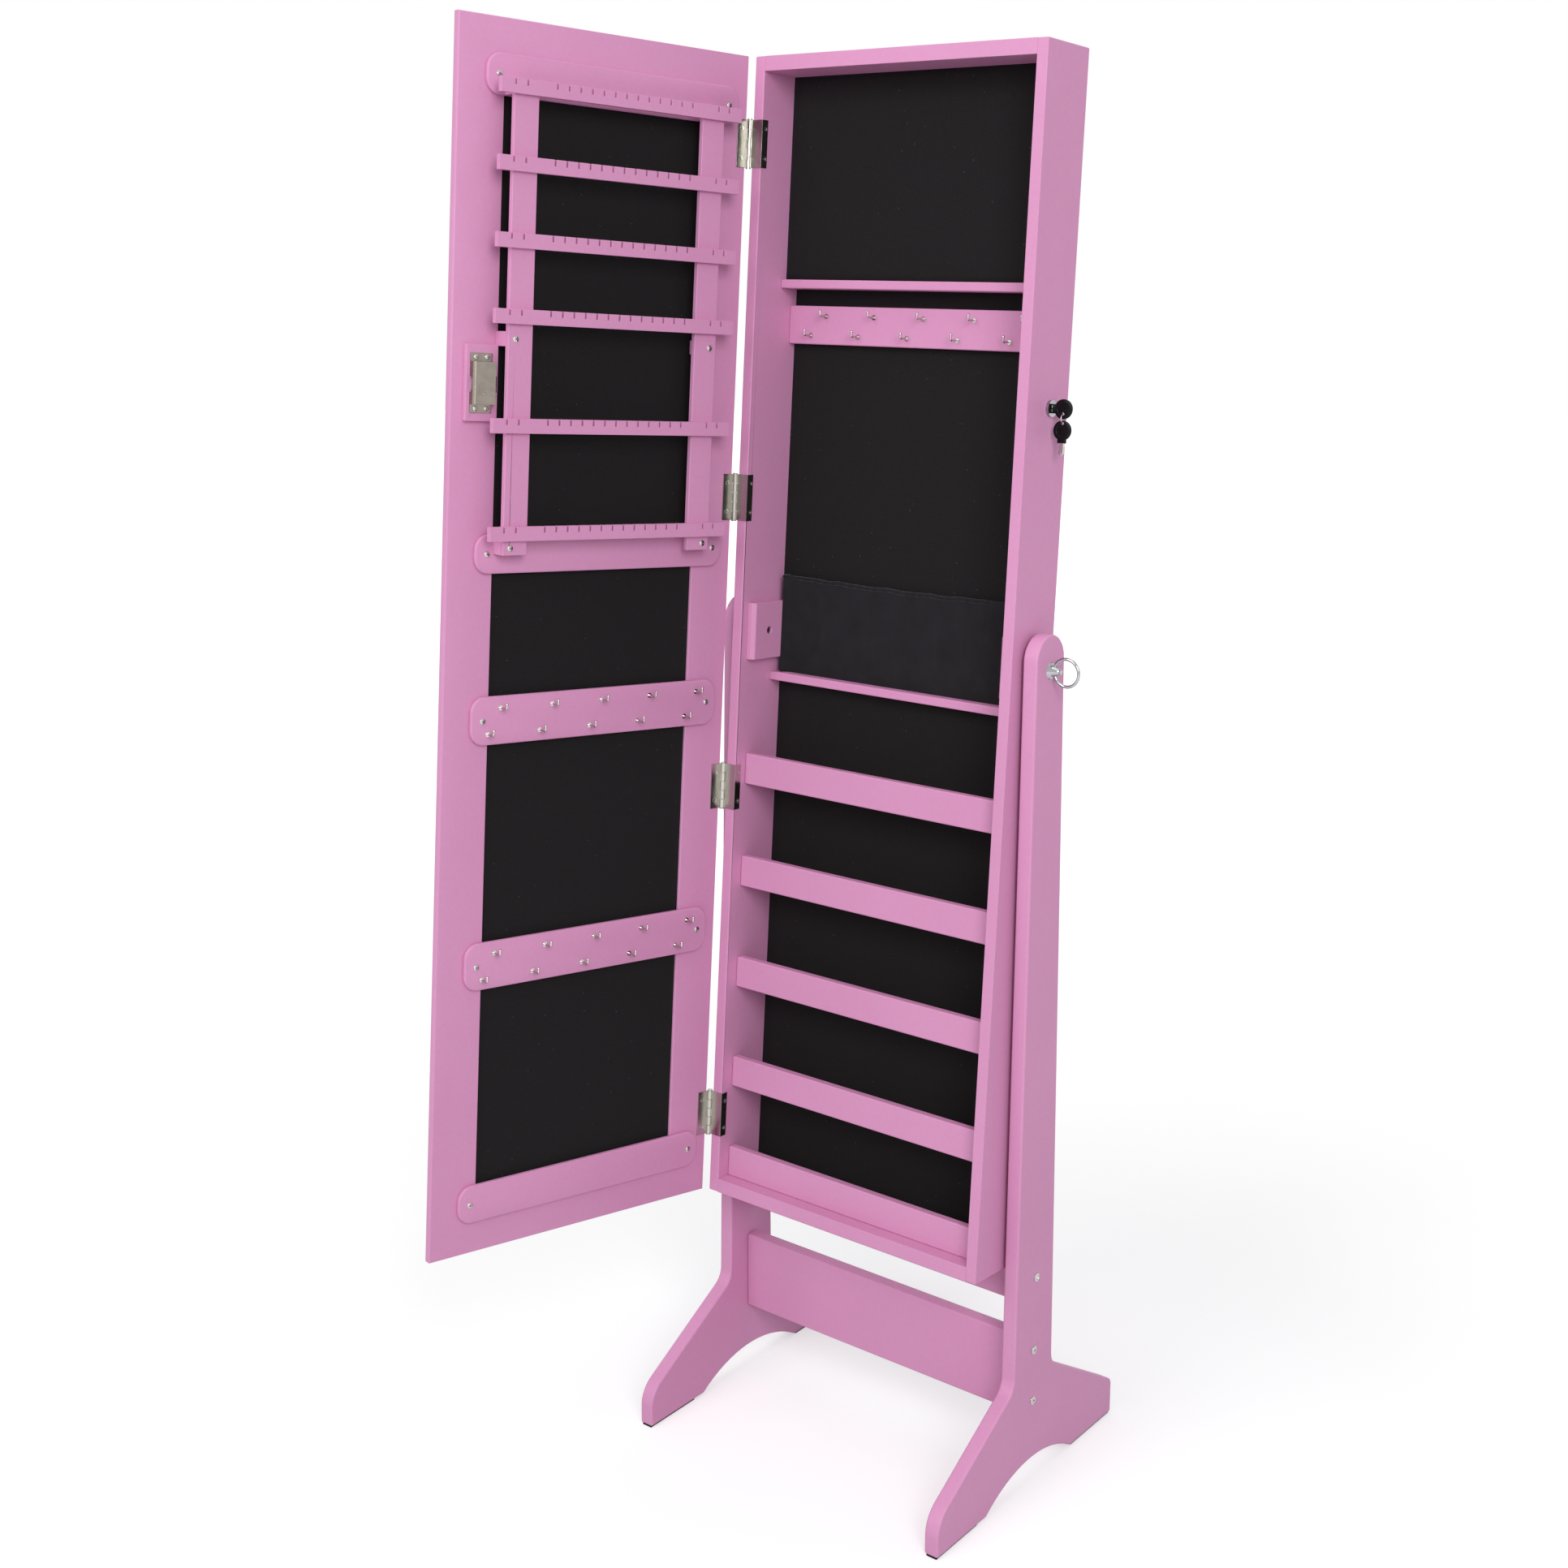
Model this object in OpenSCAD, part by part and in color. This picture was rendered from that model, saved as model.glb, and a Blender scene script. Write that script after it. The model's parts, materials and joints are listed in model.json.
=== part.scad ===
// Standing jewelry armoire: a shallow tilting cabinet hung between two side posts,
// with a mirrored door that carries an earring rack and necklace hooks.
// Millimetres. +Z up, +Y to the back, +X to the right as seen from the front.
// The origin is on the floor, straight under the tilt axis.

/* [Cabinet] */
// Outer width of the cabinet
cab_w = 344; // [300:1:420]
// Outer depth of the cabinet without its door
cab_d = 74; // [70:1:120]
// Outer height of the cabinet
cab_h = 1200; // [1150:1:1400]
// Thickness of the side walls
wall_t = 12; // [9:0.5:16]
// Thickness of the top and bottom boards
board_t = 15; // [12:0.5:18]
// Thickness of the back panel
back_t = 3; // [2.5:0.5:5]
// Depth of the rebate that holds the back panel in each wall
rebate = 6; // [4:0.5:8]
// Thickness of the felt lining on the back panel
felt_t = 2; // [1:0.5:3]

/* [Stand] */
// Height of the tilt axis above the floor
pivot_h = 853; // [820:1:950]
// Height of the tilt axis above the bottom of the cabinet
pivot_up = 613; // [590:1:660]
// How far the cabinet leans back at rest, in degrees
lean = 4; // [0:0.5:8]
// Thickness of the two side posts
post_t = 16; // [12:1:22]
// Clearance between the cabinet and each post
side_gap = 5; // [3:0.5:8]
// Depth of each post at its round top
post_top_d = 50; // [44:1:64]
// Height of the top of each post above the tilt axis
post_over = 35; // [30:1:50]
// Depth of each post where the feet begin
post_foot_d = 73; // [60:1:90]
// Height where the feet begin to spread
foot_spread_z = 118; // [100:1:150]
// Reach of the front feet
foot_front = 171; // [140:1:220]
// Reach of the rear feet
foot_rear = 165; // [140:1:220]
// Height of each toe at its upper corner
toe_z = 40; // [32:1:60]
// Radius of the front toes
toe_front_r = 32; // [10:1:36]
// Radius of the rear toes
toe_rear_r = 8; // [4:1:30]
// Width of the arch under each post
arch_w = 164; // [100:1:200]
// Rise of the arch under each post
arch_rise = 24; // [10:1:30]
// Thickness of the foot pads
pad_t = 2; // [1:0.5:4]
// Inset of the foot pads from the sides of the feet
pad_inset = 2; // [1:0.5:4]
// Width of the lower stretcher
stretcher_h = 86; // [60:1:120]
// Height of the underside of the lower stretcher
stretcher_z = 76; // [60:1:90]
// Thickness of the lower stretcher
stretcher_t = 16; // [12:1:22]
// Width of the rear rail that the cabinet rests against
stop_h = 61; // [45:1:90]
// How far the top of the rear rail reaches above the bottom of the cabinet
stop_overlap = 18; // [10:1:30]
// Thickness of the rear rail
stop_t = 12; // [9:1:18]

/* [Interior] */
// Drop from the top of the cabinet to the upper shelf
upper_shelf_drop = 220.5; // [180:0.5:260]
// Thickness of the shelves
shelf_t = 9; // [6:0.5:12]
// Depth of the upper shelf
upper_shelf_d = 27.5; // [20:0.5:40]
// Depth of the padded earring board's face behind the front edge
earring_board_back = 49; // [40:1:60]
// Thickness of the padded earring board
earring_board_t = 3; // [2:0.5:5]
// Gap between the upper shelf and the hook rail
hook_rail_drop = 17; // [10:1:30]
// Height of the hook rail
hook_rail_h = 39.5; // [34:0.5:50]
// Thickness of the hook rail
hook_rail_t = 10; // [8:0.5:14]
// Height of the middle shelf above the bottom
middle_shelf_up = 558; // [540:1:600]
// Depth of the middle shelf
middle_shelf_d = 18; // [12:1:40]
// Height of the necklace pouch on the middle shelf
pouch_h = 104; // [60:1:130]
// Depth of the necklace pouch
pouch_d = 12; // [8:0.5:16]
// Thickness of the pouch's cloth
pouch_t = 1.2; // [0.8:0.1:2]
// Height of the tray rails
rail_h = 33; // [24:1:40]
// Thickness of the tray rails
rail_t = 10; // [6:1:14]
// Setback of the tray rails from the front edge
rail_setback = 16; // [12:1:24]
// Height of the lowest tray rail's top above the bottom
first_rail_up = 149; // [130:1:160]
// Spacing of the tray rails
rail_pitch = 111; // [90:1:118]
// Thickness of the tray floors
floor_t = 8; // [5:0.5:10]
// Number of trays above the bottom one
tray_count = 4; // [3:1:4]
// Size of the square blocks that carry the tilt bolts
pivot_block = 60; // [40:1:66]
// Front to back depth of those blocks
pivot_block_d = 54; // [40:1:60]
// Thickness of those blocks
pivot_block_t = 9; // [6:0.5:12]
// Chamfer on the front and back edges of those blocks
pivot_block_chamfer = 3.5; // [1:0.5:5]

/* [Door] */
// How far the door stands open at rest, in degrees
door_open = 102; // [0:1:135]
// Margin by which the door is narrower than the cabinet on the lock side
door_reveal = 4; // [2:0.5:8]
// Gap between the closed door and the cabinet
door_gap = 2.8; // [2.8:0.1:4]
// Thickness of the door
door_t = 9; // [9:0.5:16]
// Width of the stile on the hinge side
stile_hinge = 48.5; // [40:0.5:60]
// Width of the stile on the lock side
stile_lock = 51; // [45:0.5:60]
// Height of the end rails of the door
door_rail = 66; // [50:1:68]
// Width of the rim round the mirror
mirror_rim = 12; // [8:1:20]
// Thickness of the mirror
mirror_t = 3; // [3:0.5:4]
// Thickness of the felt-faced board behind the mirror
felt_board_t = 3; // [2:0.5:3]
// Thickness of the cross strips
strip_t = 5; // [4:0.5:6]
// Start of the cross strips, from the hinge edge of the door
strip_start = 14.5; // [14:0.5:20]
// Distance from the end of the cross strips to the free edge of the door
strip_end_margin = 29; // [24:0.5:36]
// Corner radius of the cross strips
strip_r = 15; // [2:0.5:17]
// Height of the two end strips
end_strip_h = 38.5; // [34:0.5:44]
// Distance from the end strips to the ends of the door
end_strip_in = 33; // [24:1:40]
// Height of the strip under the earring rack
rack_strip_h = 38; // [34:0.5:44]
// Drop from the top of the door to the strip under the earring rack
rack_strip_drop = 480; // [470:1:500]
// Height of the two necklace strips
hook_strip_h = 47.5; // [44:0.5:54]
// Height of the upper necklace strip's top above the bottom of the door
upper_hook_strip_up = 563; // [540:1:590]
// Height of the lower necklace strip's top above the bottom of the door
lower_hook_strip_up = 319; // [280:1:340]

/* [Earring rack] */
// Number of slats with the wide spacing left out
close_slats = 4; // [3:1:4]
// Spacing of the upper slats
slat_pitch = 70; // [62:1:74]
// Spacing of the lower slats
low_slat_pitch = 102; // [92:1:105]
// Drop from the top of the door to the first slat
slat_drop = 57; // [50:1:62]
// Height of each slat
slat_h = 14; // [11:0.5:18]
// Thickness of each slat
slat_t = 5; // [3:0.5:6]
// Length of each slat
slat_l = 282; // [270:1:284]
// Width of the earring slots
slot_w = 2; // [1.2:0.1:3]
// Depth of the earring slots
slot_h = 6; // [4:0.5:8]
// Number of slots in the middle of each slat
mid_slots = 13; // [9:1:15]
// Spacing of the slots
slot_pitch = 13.2; // [9:0.1:13.4]
// Distance from a slat's end to the first slot
end_slot = 16; // [10:1:18]
// Stand-off of the rack posts from the door
rack_standoff = 17; // [14:0.5:19]
// Thickness of the rack posts
rack_post_t = 5.5; // [4:0.5:6]
// Width of the rack posts
rack_post_w = 27; // [18:1:30]
// Distance from a slat's end to the rack post
rack_post_in = 18; // [10:1:24]
// How far the rack posts run below the last slat
rack_post_over = 14; // [12:1:20]

/* [Hooks] */
// Wire diameter of the hooks
hook_wire = 2.2; // [1.6:0.1:2.6]
// Reach of the hooks
hook_reach = 13; // [9:0.5:14]
// Height of the hook tips
hook_tip = 5; // [3:0.5:7]
// Diameter of the collar at the root of each hook
hook_collar = 5; // [4:0.5:6]
// Spacing of the necklace hooks on the door
door_hook_pitch = 59.4; // [40:0.1:62]
// Spacing of the hooks inside the cabinet
rail_hook_pitch = 60.6; // [40:0.1:62]
// Hooks in each row
hook_count = 5; // [3:1:5]
// Sideways shift of the lower hooks on the door
door_hook_stagger = 14; // [8:1:16]
// Sideways shift of the lower hooks in the cabinet
rail_hook_stagger = 19; // [10:1:24]

/* [Hinges] */
// Height of each hinge
hinge_h = 48; // [40:1:60]
// Distance from the end hinges' middle to the ends of the cabinet
hinge_end = 87; // [75:1:100]
// Distance from the inner hinges' middle to the middle of the cabinet
hinge_inner = 153; // [120:1:200]
// Distance of the hinge pin outside the cabinet
hinge_out = 3.2; // [3.2:0.1:4]
// Outer diameter of the knuckles
knuckle_d = 6; // [5:0.1:6]
// Diameter of the hinge pins
pin_d = 3; // [2:0.1:3.2]
// Thickness of the hinge leaves
leaf_t = 1.2; // [1:0.1:1.2]
// Width of the leaf on the door
door_leaf_w = 12; // [10:0.5:13]
// Depth of the leaf's flange on the inside of the wall
flange_d = 8; // [6:0.5:10]
// Number of knuckles, counted over both leaves
knuckles = 5; // [3:2:5]
// Distance of the leaf screws from the ends of the leaf
leaf_screw_in = 9; // [7:0.5:12]

/* [Lock] */
// Drop from the top of the cabinet to the lock
lock_drop = 338; // [320:1:350]
// Distance of the lock behind the front edge
lock_back = 41; // [36:1:45]
// Outer diameter of the lock's rim
lock_rim_d = 16; // [14:0.5:20]
// Outer diameter of the lock's barrel
lock_d = 12; // [10:0.5:13]
// Diameter of the plug that turns in the barrel
plug_d = 8; // [7:0.5:9]
// How far the rim stands out of the wall
rim_out = 3; // [1.5:0.5:5]
// Across flats of the nut on the inside
lock_nut_af = 17; // [15:0.5:22]
// Thickness of that nut
lock_nut_t = 3; // [2:0.5:4]
// Thickness of the cam
cam_t = 2; // [1.5:0.1:2.5]
// Length of the cam from the lock's axis to its tip
cam_l = 34; // [24:0.5:35]
// Diameter of the key bows
bow_d = 19; // [16:0.5:20]
// Thickness of the key bows
bow_t = 2.6; // [2:0.1:3.5]
// Distance of the key bow's middle from the wall
bow_out = 15; // [14:0.5:20]
// Outer diameter of the key ring
key_ring_d = 9; // [8.6:0.1:9.4]
// Wire diameter of the key ring
key_wire = 1; // [0.8:0.1:1.2]

/* [Strike] */
// Height of the wooden block under the strike
block_h = 72; // [64:1:90]
// Width of the wooden block
block_w = 35; // [30:1:36]
// Thickness of the wooden block
block_t = 6; // [4:0.5:7]
// Distance of the wooden block from the free edge of the door
block_margin = 13; // [12:0.5:18]
// Height of the strike case over its flanges
case_flange_h = 56; // [50:1:60]
// Height of the strike case's box
case_h = 40; // [34:1:44]
// Width of the strike case
case_w = 24; // [20:1:26]
// Depth of the strike case
case_d = 8; // [6:0.5:9]
// Sheet thickness of the strike case
case_t = 1.2; // [0.8:0.1:1.5]
// Height of the keeper plate in the case
keeper_h = 15; // [10:1:18]
// How far the keeper's tab stands out of the case
keeper_tab = 5; // [3:0.5:6]

/* [Tilt knobs] */
// Diameter of the tilt bolts
tilt_bolt_d = 8; // [6:0.5:9]
// Outer diameter of the rings that turn the tilt bolts
grip_d = 30; // [24:1:40]
// Section of those rings
grip_wire = 3.2; // [2.4:0.1:4]
// Diameter of the collar that bears on the post
knob_collar_d = 17; // [14:0.5:22]
// Thickness of that collar
knob_collar_t = 3; // [2:0.5:4]
// Outer diameter of the threaded inserts
insert_d = 12; // [11:0.5:14]
// Depth of wood that covers the inserts on the inside
insert_cover = 3; // [2:0.5:4]

/* [Fasteners] */
// Head diameter of the stand screws
stand_head_d = 9; // [7:0.5:12]
// Shank diameter of the stand screws
stand_shank_d = 5; // [4:0.5:6]
// Length of the stand screws in the stretcher
stand_bite = 32; // [20:1:45]
// Head height of the stand screws
stand_head_t = 1.6; // [1:0.1:3]
// Distance of the two screws at each end of the stretcher from its edges
stretcher_screw_in = 15; // [12:1:20]
// Head diameter of the small wood screws
small_head_d = 6; // [5:0.2:7]
// Head height of the small wood screws
small_head_t = 1.4; // [1:0.1:2]
// Shank diameter of the small wood screws
small_shank_d = 2.6; // [2:0.1:3]
// Distance of the strip screws from the strips' ends
strip_screw_in = 12.5; // [8:0.5:16]

/* [Clearances] */
// Radial running clearance of pins, bolts and the lock's plug
run_fit = 0.06; // [0.02:0.01:0.1]
// Gap between pieces that move past each other
free_gap = 0.4; // [0.3:0.05:0.6]
// Radial clearance of screws in their holes
screw_fit = 0.05; // [0.02:0.01:0.1]

/* [Hidden] */
$fn = 48;
eps = 0.01;

pink = "#cf93b9";
felt = "#202022";
nickel = "#b9b9bc";
black = "#161618";
silver = "#d9dde0";

// Derived: cabinet. Its own frame has x from the middle, y from the front edge and z from the bottom.
inner_w = cab_w - 2 * wall_t;
wall_in = cab_w / 2 - wall_t;
felt_face = cab_d - back_t - felt_t;
upper_shelf_z = cab_h - upper_shelf_drop - shelf_t;
hook_rail_z = upper_shelf_z - hook_rail_drop - hook_rail_h;
hook_rail_face = felt_face - hook_rail_t;
pivot_y = cab_d / 2;

// Derived: stand.
post_x = cab_w / 2 + side_gap;
post_top = pivot_h + post_over;
// The back of the cabinet, at the level of the rear rail's top edge.
cab_bottom_z = pivot_h - pivot_up * cos(lean) - cab_d / 2 * sin(lean);
stop_top = cab_bottom_z + stop_overlap;
stop_y = cab_back_y(stop_top) + free_gap;
function cab_back_y(z) = (cab_d / 2 - (pivot_h - z) * sin(lean)) / cos(lean);

// Derived: door. Its own frame has x from the hinge edge, y into the cabinet and z from the bottom.
door_w = cab_w - door_reveal;
strip_l = door_w - strip_start - strip_end_margin;
// Each strip as [height of its underside, its height].
strips = [
    [cab_h - end_strip_in - end_strip_h, end_strip_h],
    [cab_h - rack_strip_drop - rack_strip_h, rack_strip_h],
    [upper_hook_strip_up - hook_strip_h, hook_strip_h],
    [lower_hook_strip_up - hook_strip_h, hook_strip_h],
    [end_strip_in, end_strip_h]
];
strip_screws_x = [strip_start + strip_screw_in, strip_start + strip_l - strip_screw_in];
small_bite = door_t - mirror_t - felt_board_t;

// Derived: earring rack.
slat_count = 6;
slat_start = (door_w - slat_l) / 2 - 1;
slat_back = rack_standoff + rack_post_t;
rack_top = cab_h - slat_drop;
rack_bottom = slat_z(slat_count - 1) - rack_post_over;
rack_posts_x = [slat_start + rack_post_in, slat_start + slat_l - rack_post_in - rack_post_w];
spacer_w = 16;
spacer_h = 14;
rack_screw_up = 7;
mid_spacer_z = slat_z(close_slats - 1) - slat_h;
function slat_z(i) = cab_h - slat_drop - slat_h
    - min(i, close_slats - 1) * slat_pitch - max(i - close_slats + 1, 0) * low_slat_pitch;

// Derived: hooks. The rows stand at these distances under the top of their strip or rail.
hook_rows = [11.5, 36.5];
rail_hook_rows = [10.5, 30.5];
bend_r = hook_wire * 0.9;
collar_t = 1;

// Derived: hinges.
hinges_z = [hinge_end, cab_h / 2 - hinge_inner, cab_h / 2 + hinge_inner, cab_h - hinge_end];
knuckle_h = hinge_h / knuckles;
leaf_screws_z = [leaf_screw_in - hinge_h / 2, hinge_h / 2 - leaf_screw_in];
leaf_head_d = 4.6;
leaf_head_t = 0.7;
leaf_bite = 8;
door_leaf_bite = 5;
pin_head_t = 1;

// Derived: lock and keys.
lock_z = cab_h - lock_drop;
cam_x = wall_in - lock_nut_t - free_gap - cam_t;
barrel_in = wall_in - lock_nut_t;
cam_w = 11;
cam_hub_d = 13;
blade_w = 6;
blade_t = 1.6;
bow_hole_d = 3;
// The hole in a bow, under its middle on the key in the lock.
bow_hole_drop = 4.5;
spare_hole_up = 6.8;
ring_r = (key_ring_d - key_wire) / 2;
ring_sag = 0.4;
ring_z = lock_z - bow_hole_drop - ring_sag - ring_r;
spare_hole_z = ring_z - ring_r - ring_sag;
spare_z = spare_hole_z - spare_hole_up;
bow_x = cab_w / 2 + bow_out;
key_blade_l = 14;
shoulder_w = 9;
shoulder_l = 2.5;
blade_cuts = 4;
cut_pitch = 2.2;

// Derived: strike.
block_x = door_w - block_margin - block_w;
case_x = block_x + 7;
case_mid_z = lock_z + 1;
mouth_l = 15;
mouth_h = 5;
keeper_t = 1.5;
case_roll = 3;
case_rivet_d = 3;
case_rivet_t = 0.8;
case_screw_d = 5;
case_screw_t = 1;

// Derived: tilt knobs.
bolt_l = post_t + side_gap + wall_t + pivot_block_t - 2;
hub_root_d = 11;
hub_tip_d = 7;
hub_l = 10;
rivet_d = 5.5;
rivet_l = 1.5;
grip_gap = 2;
grip_out = grip_d / 2 + grip_gap;
insert_x = wall_in - pivot_block_t + insert_cover;

// ---------- placing ----------

// Cabinet frame, hung on the tilt axis and leaning back.
module on_cabinet()
    translate([0, 0, pivot_h]) rotate([-lean, 0, 0]) translate([0, -pivot_y, -pivot_up]) children();

// Door frame, swung open about the hinge pins.
module on_door()
    on_cabinet()
        translate([-cab_w / 2 - hinge_out, -door_gap / 2, 0])
            rotate([0, 0, -door_open])
                translate([hinge_out, -door_gap / 2, 0]) children();

module both_sides() {
    children();
    mirror([1, 0, 0]) children();
}

// Turns a drawing in x and y into a plate that stands in the YZ plane, t thick towards +x.
module stand_up(t) rotate([90, 0, 90]) linear_extrude(t) children();

// ---------- shapes ----------

function unit(v) = v / norm(v);
function along(a, b, d) = a + unit(b - a) * d;

// Points of an arc that rounds corner b between a and c.
function corner_arc(a, b, c, r, steps = 10) =
    let (
        half = acos(unit(a - b) * unit(c - b)) / 2,
        centre = b + unit(unit(a - b) + unit(c - b)) * r / sin(half),
        from = along(b, a, r / tan(half)) - centre,
        to = along(b, c, r / tan(half)) - centre,
        start = atan2(from[1], from[0]),
        turn = atan2(from[0] * to[1] - from[1] * to[0], from * to)
    )
    [for (i = [0:steps]) centre + r * [cos(start + turn * i / steps), sin(start + turn * i / steps)]];

// Outline through corners given as [x, y, radius]; a radius of 0 keeps the corner sharp.
function rounded(corners) = [
    for (i = [0:len(corners) - 1])
        let (
            n = len(corners),
            a = corners[(i + n - 1) % n],
            b = corners[i],
            c = corners[(i + 1) % n]
        )
        each b[2] > 0
            ? corner_arc([a[0], a[1]], [b[0], b[1]], [c[0], c[1]], b[2])
            : [[b[0], b[1]]]
];

// A screw that points along -y: round head on the surface y = 0, shank into it.
module small_screw(bite) {
    rotate([-90, 0, 0]) cylinder(d = small_head_d, h = small_head_t);
    rotate([90, 0, 0]) translate([0, 0, -eps]) cylinder(d = small_shank_d, h = bite + eps, $fn = 24);
}

// Hole for such a screw, from the surface y = 0.
module small_hole(depth)
    translate([0, eps, 0]) rotate([90, 0, 0])
        cylinder(d = small_shank_d + 2 * screw_fit, h = depth + eps, $fn = 24);

// Hook that grows along +y from y = 0 and turns up at its tip.
module hook() {
    straight = hook_reach - bend_r - hook_wire / 2;
    rotate([-90, 0, 0]) cylinder(d = hook_collar, h = collar_t, $fn = 24);
    rotate([-90, 0, 0]) cylinder(d = hook_wire, h = straight, $fn = 24);
    translate([0, straight, bend_r]) rotate([90, 0, 90])
        rotate_extrude(angle = 90, start = 270, $fn = 24) translate([bend_r, 0]) circle(d = hook_wire);
    translate([0, straight + bend_r, bend_r])
        cylinder(d = hook_wire, h = hook_tip - bend_r, $fn = 24);
    translate([0, straight + bend_r, hook_tip]) sphere(d = hook_wire + 0.6, $fn = 24);
}

// ---------- stand ----------

// Side view of a post with its two feet; x is the depth and y the height.
module post_outline() {
    top = post_top_d / 2;
    foot = post_foot_d / 2;
    arch_r = (pow(arch_w / 2, 2) + pow(arch_rise, 2)) / (2 * arch_rise);
    difference() {
        polygon(rounded([
            [-top, post_top, top - eps],
            [-foot, foot_spread_z, 20],
            [-foot_front, toe_z, toe_front_r],
            [-foot_front, pad_t, 0],
            [foot_rear, pad_t, 0],
            [foot_rear, toe_z, toe_rear_r],
            [foot, foot_spread_z, 20],
            [top, post_top, top - eps]
        ]));
        translate([-2, pad_t + arch_rise - arch_r]) circle(r = arch_r, $fn = 180);
    }
}

// Distance from the axis to where the arch meets the feet.
function arch_edge(side) = side * arch_w / 2 - 2;

module stand_screw_at()
    for (z = [stretcher_z + stretcher_screw_in, stretcher_z + stretcher_h - stretcher_screw_in])
        translate([post_x + post_t, 0, z]) children();

module stop_screw_at()
    translate([post_x + post_t, stop_y + stop_t / 2, stop_top - stop_h / 2]) children();

module stand_hole()
    rotate([0, -90, 0]) translate([0, 0, -1])
        cylinder(d = stand_shank_d + 2 * screw_fit, h = post_t + stand_bite + 2, $fn = 32);

module post_plate()
    difference() {
        translate([post_x, 0, 0]) stand_up(post_t) post_outline();
        translate([post_x - 1, 0, pivot_h]) rotate([0, 90, 0])
            cylinder(d = tilt_bolt_d + 2 * run_fit, h = post_t + 2);
        stand_screw_at() stand_hole();
        stop_screw_at() stand_hole();
    }

module right_post() color(pink) post_plate();

module left_post() color(pink) mirror([1, 0, 0]) post_plate();

module lower_stretcher()
    color(pink) difference() {
        translate([-post_x, -stretcher_t / 2, stretcher_z]) cube([2 * post_x, stretcher_t, stretcher_h]);
        both_sides() stand_screw_at() stand_hole();
    }

// Rail behind the cabinet that stops its lean.
module rear_rail()
    color(pink) difference() {
        translate([-post_x, stop_y, stop_top - stop_h]) cube([2 * post_x, stop_t, stop_h]);
        both_sides() stop_screw_at() stand_hole();
    }

module stand_screw()
    rotate([0, 90, 0]) {
        cylinder(d = stand_head_d, h = stand_head_t);
        translate([0, 0, -post_t - stand_bite + 1])
            cylinder(d = stand_shank_d, h = post_t + stand_bite - 1 + eps, $fn = 32);
    }

module stand_screws()
    color(nickel) both_sides() {
        stand_screw_at() stand_screw();
        stop_screw_at() stand_screw();
    }

module foot_pad(from, to)
    translate([post_x + pad_inset, from, 0]) cube([post_t - 2 * pad_inset, to - from, pad_t]);

module foot_pads()
    color(black) both_sides() {
        foot_pad(-foot_front + 1, arch_edge(-1) - 14);
        foot_pad(arch_edge(1) + 4, foot_rear - 1);
    }

// ---------- cabinet ----------

// Side wall with the rebate for the back panel and the bore for the tilt insert.
module wall_plate()
    difference() {
        translate([wall_in, 0, 0]) cube([wall_t, cab_d, cab_h]);
        translate([wall_in - eps, cab_d - back_t, board_t - rebate])
            cube([rebate + eps, back_t + eps, cab_h - 2 * board_t + 2 * rebate]);
        translate([wall_in - 1, pivot_y, pivot_up]) rotate([0, 90, 0])
            cylinder(d = insert_d + 2 * screw_fit, h = wall_t + 2);
    }

module left_wall()
    color(pink) on_cabinet() difference() {
        mirror([1, 0, 0]) wall_plate();
        cabinet_leaf_screw_at() leaf_hole();
    }

module right_wall()
    color(pink) on_cabinet() difference() {
        wall_plate();
        translate([wall_in - 1, lock_back, lock_z]) rotate([0, 90, 0])
            cylinder(d = lock_d + 2 * screw_fit, h = wall_t + 2);
    }

module end_board(z)
    difference() {
        translate([-inner_w / 2, 0, z]) cube([inner_w, cab_d, board_t]);
        translate([-inner_w / 2 - eps, cab_d - back_t, z > 0 ? z - eps : board_t - rebate])
            cube([inner_w + 2 * eps, back_t + eps, rebate + eps]);
    }

module top_board() color(pink) on_cabinet() end_board(cab_h - board_t);

module bottom_board() color(pink) on_cabinet() end_board(0);

module back_panel()
    color(pink) on_cabinet()
        translate([-inner_w / 2 - rebate, cab_d - back_t, board_t - rebate])
            cube([inner_w + 2 * rebate, back_t, cab_h - 2 * board_t + 2 * rebate]);

module felt_lining()
    color(felt) on_cabinet()
        translate([-inner_w / 2, felt_face, board_t]) cube([inner_w, felt_t, cab_h - 2 * board_t]);

// A board from wall to wall, from a depth back to the lining.
module cross_board(z, front, h, back = felt_face)
    translate([-inner_w / 2, front, z]) cube([inner_w, back - front, h]);

module earring_board()
    color(felt) on_cabinet()
        cross_board(upper_shelf_z + shelf_t, earring_board_back,
            cab_h - board_t - upper_shelf_z - shelf_t, earring_board_back + earring_board_t);

module upper_shelf()
    color(pink) on_cabinet() cross_board(upper_shelf_z, felt_face - upper_shelf_d, shelf_t);

// Places a child at each hook of a staggered pair of rows, in a face at y = 0.
module hook_grid(middle, top, rows, pitch, stagger)
    for (row = [0:len(rows) - 1], i = [0:hook_count - 1])
        translate([
            middle + (i - (hook_count - 1) / 2) * pitch + row * stagger,
            0,
            top - rows[row]
        ]) children();

module rail_hook_at()
    translate([0, hook_rail_face, 0])
        hook_grid(rail_hook_stagger / 2, hook_rail_z + hook_rail_h, rail_hook_rows,
            rail_hook_pitch, -rail_hook_stagger)
            mirror([0, 1, 0]) children();

module hook_rail()
    color(pink) on_cabinet() cross_board(hook_rail_z, hook_rail_face, hook_rail_h);

module rail_hooks() color(nickel) on_cabinet() rail_hook_at() hook();

module middle_shelf()
    color(pink) on_cabinet() cross_board(middle_shelf_up, felt_face - middle_shelf_d, shelf_t);

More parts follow.
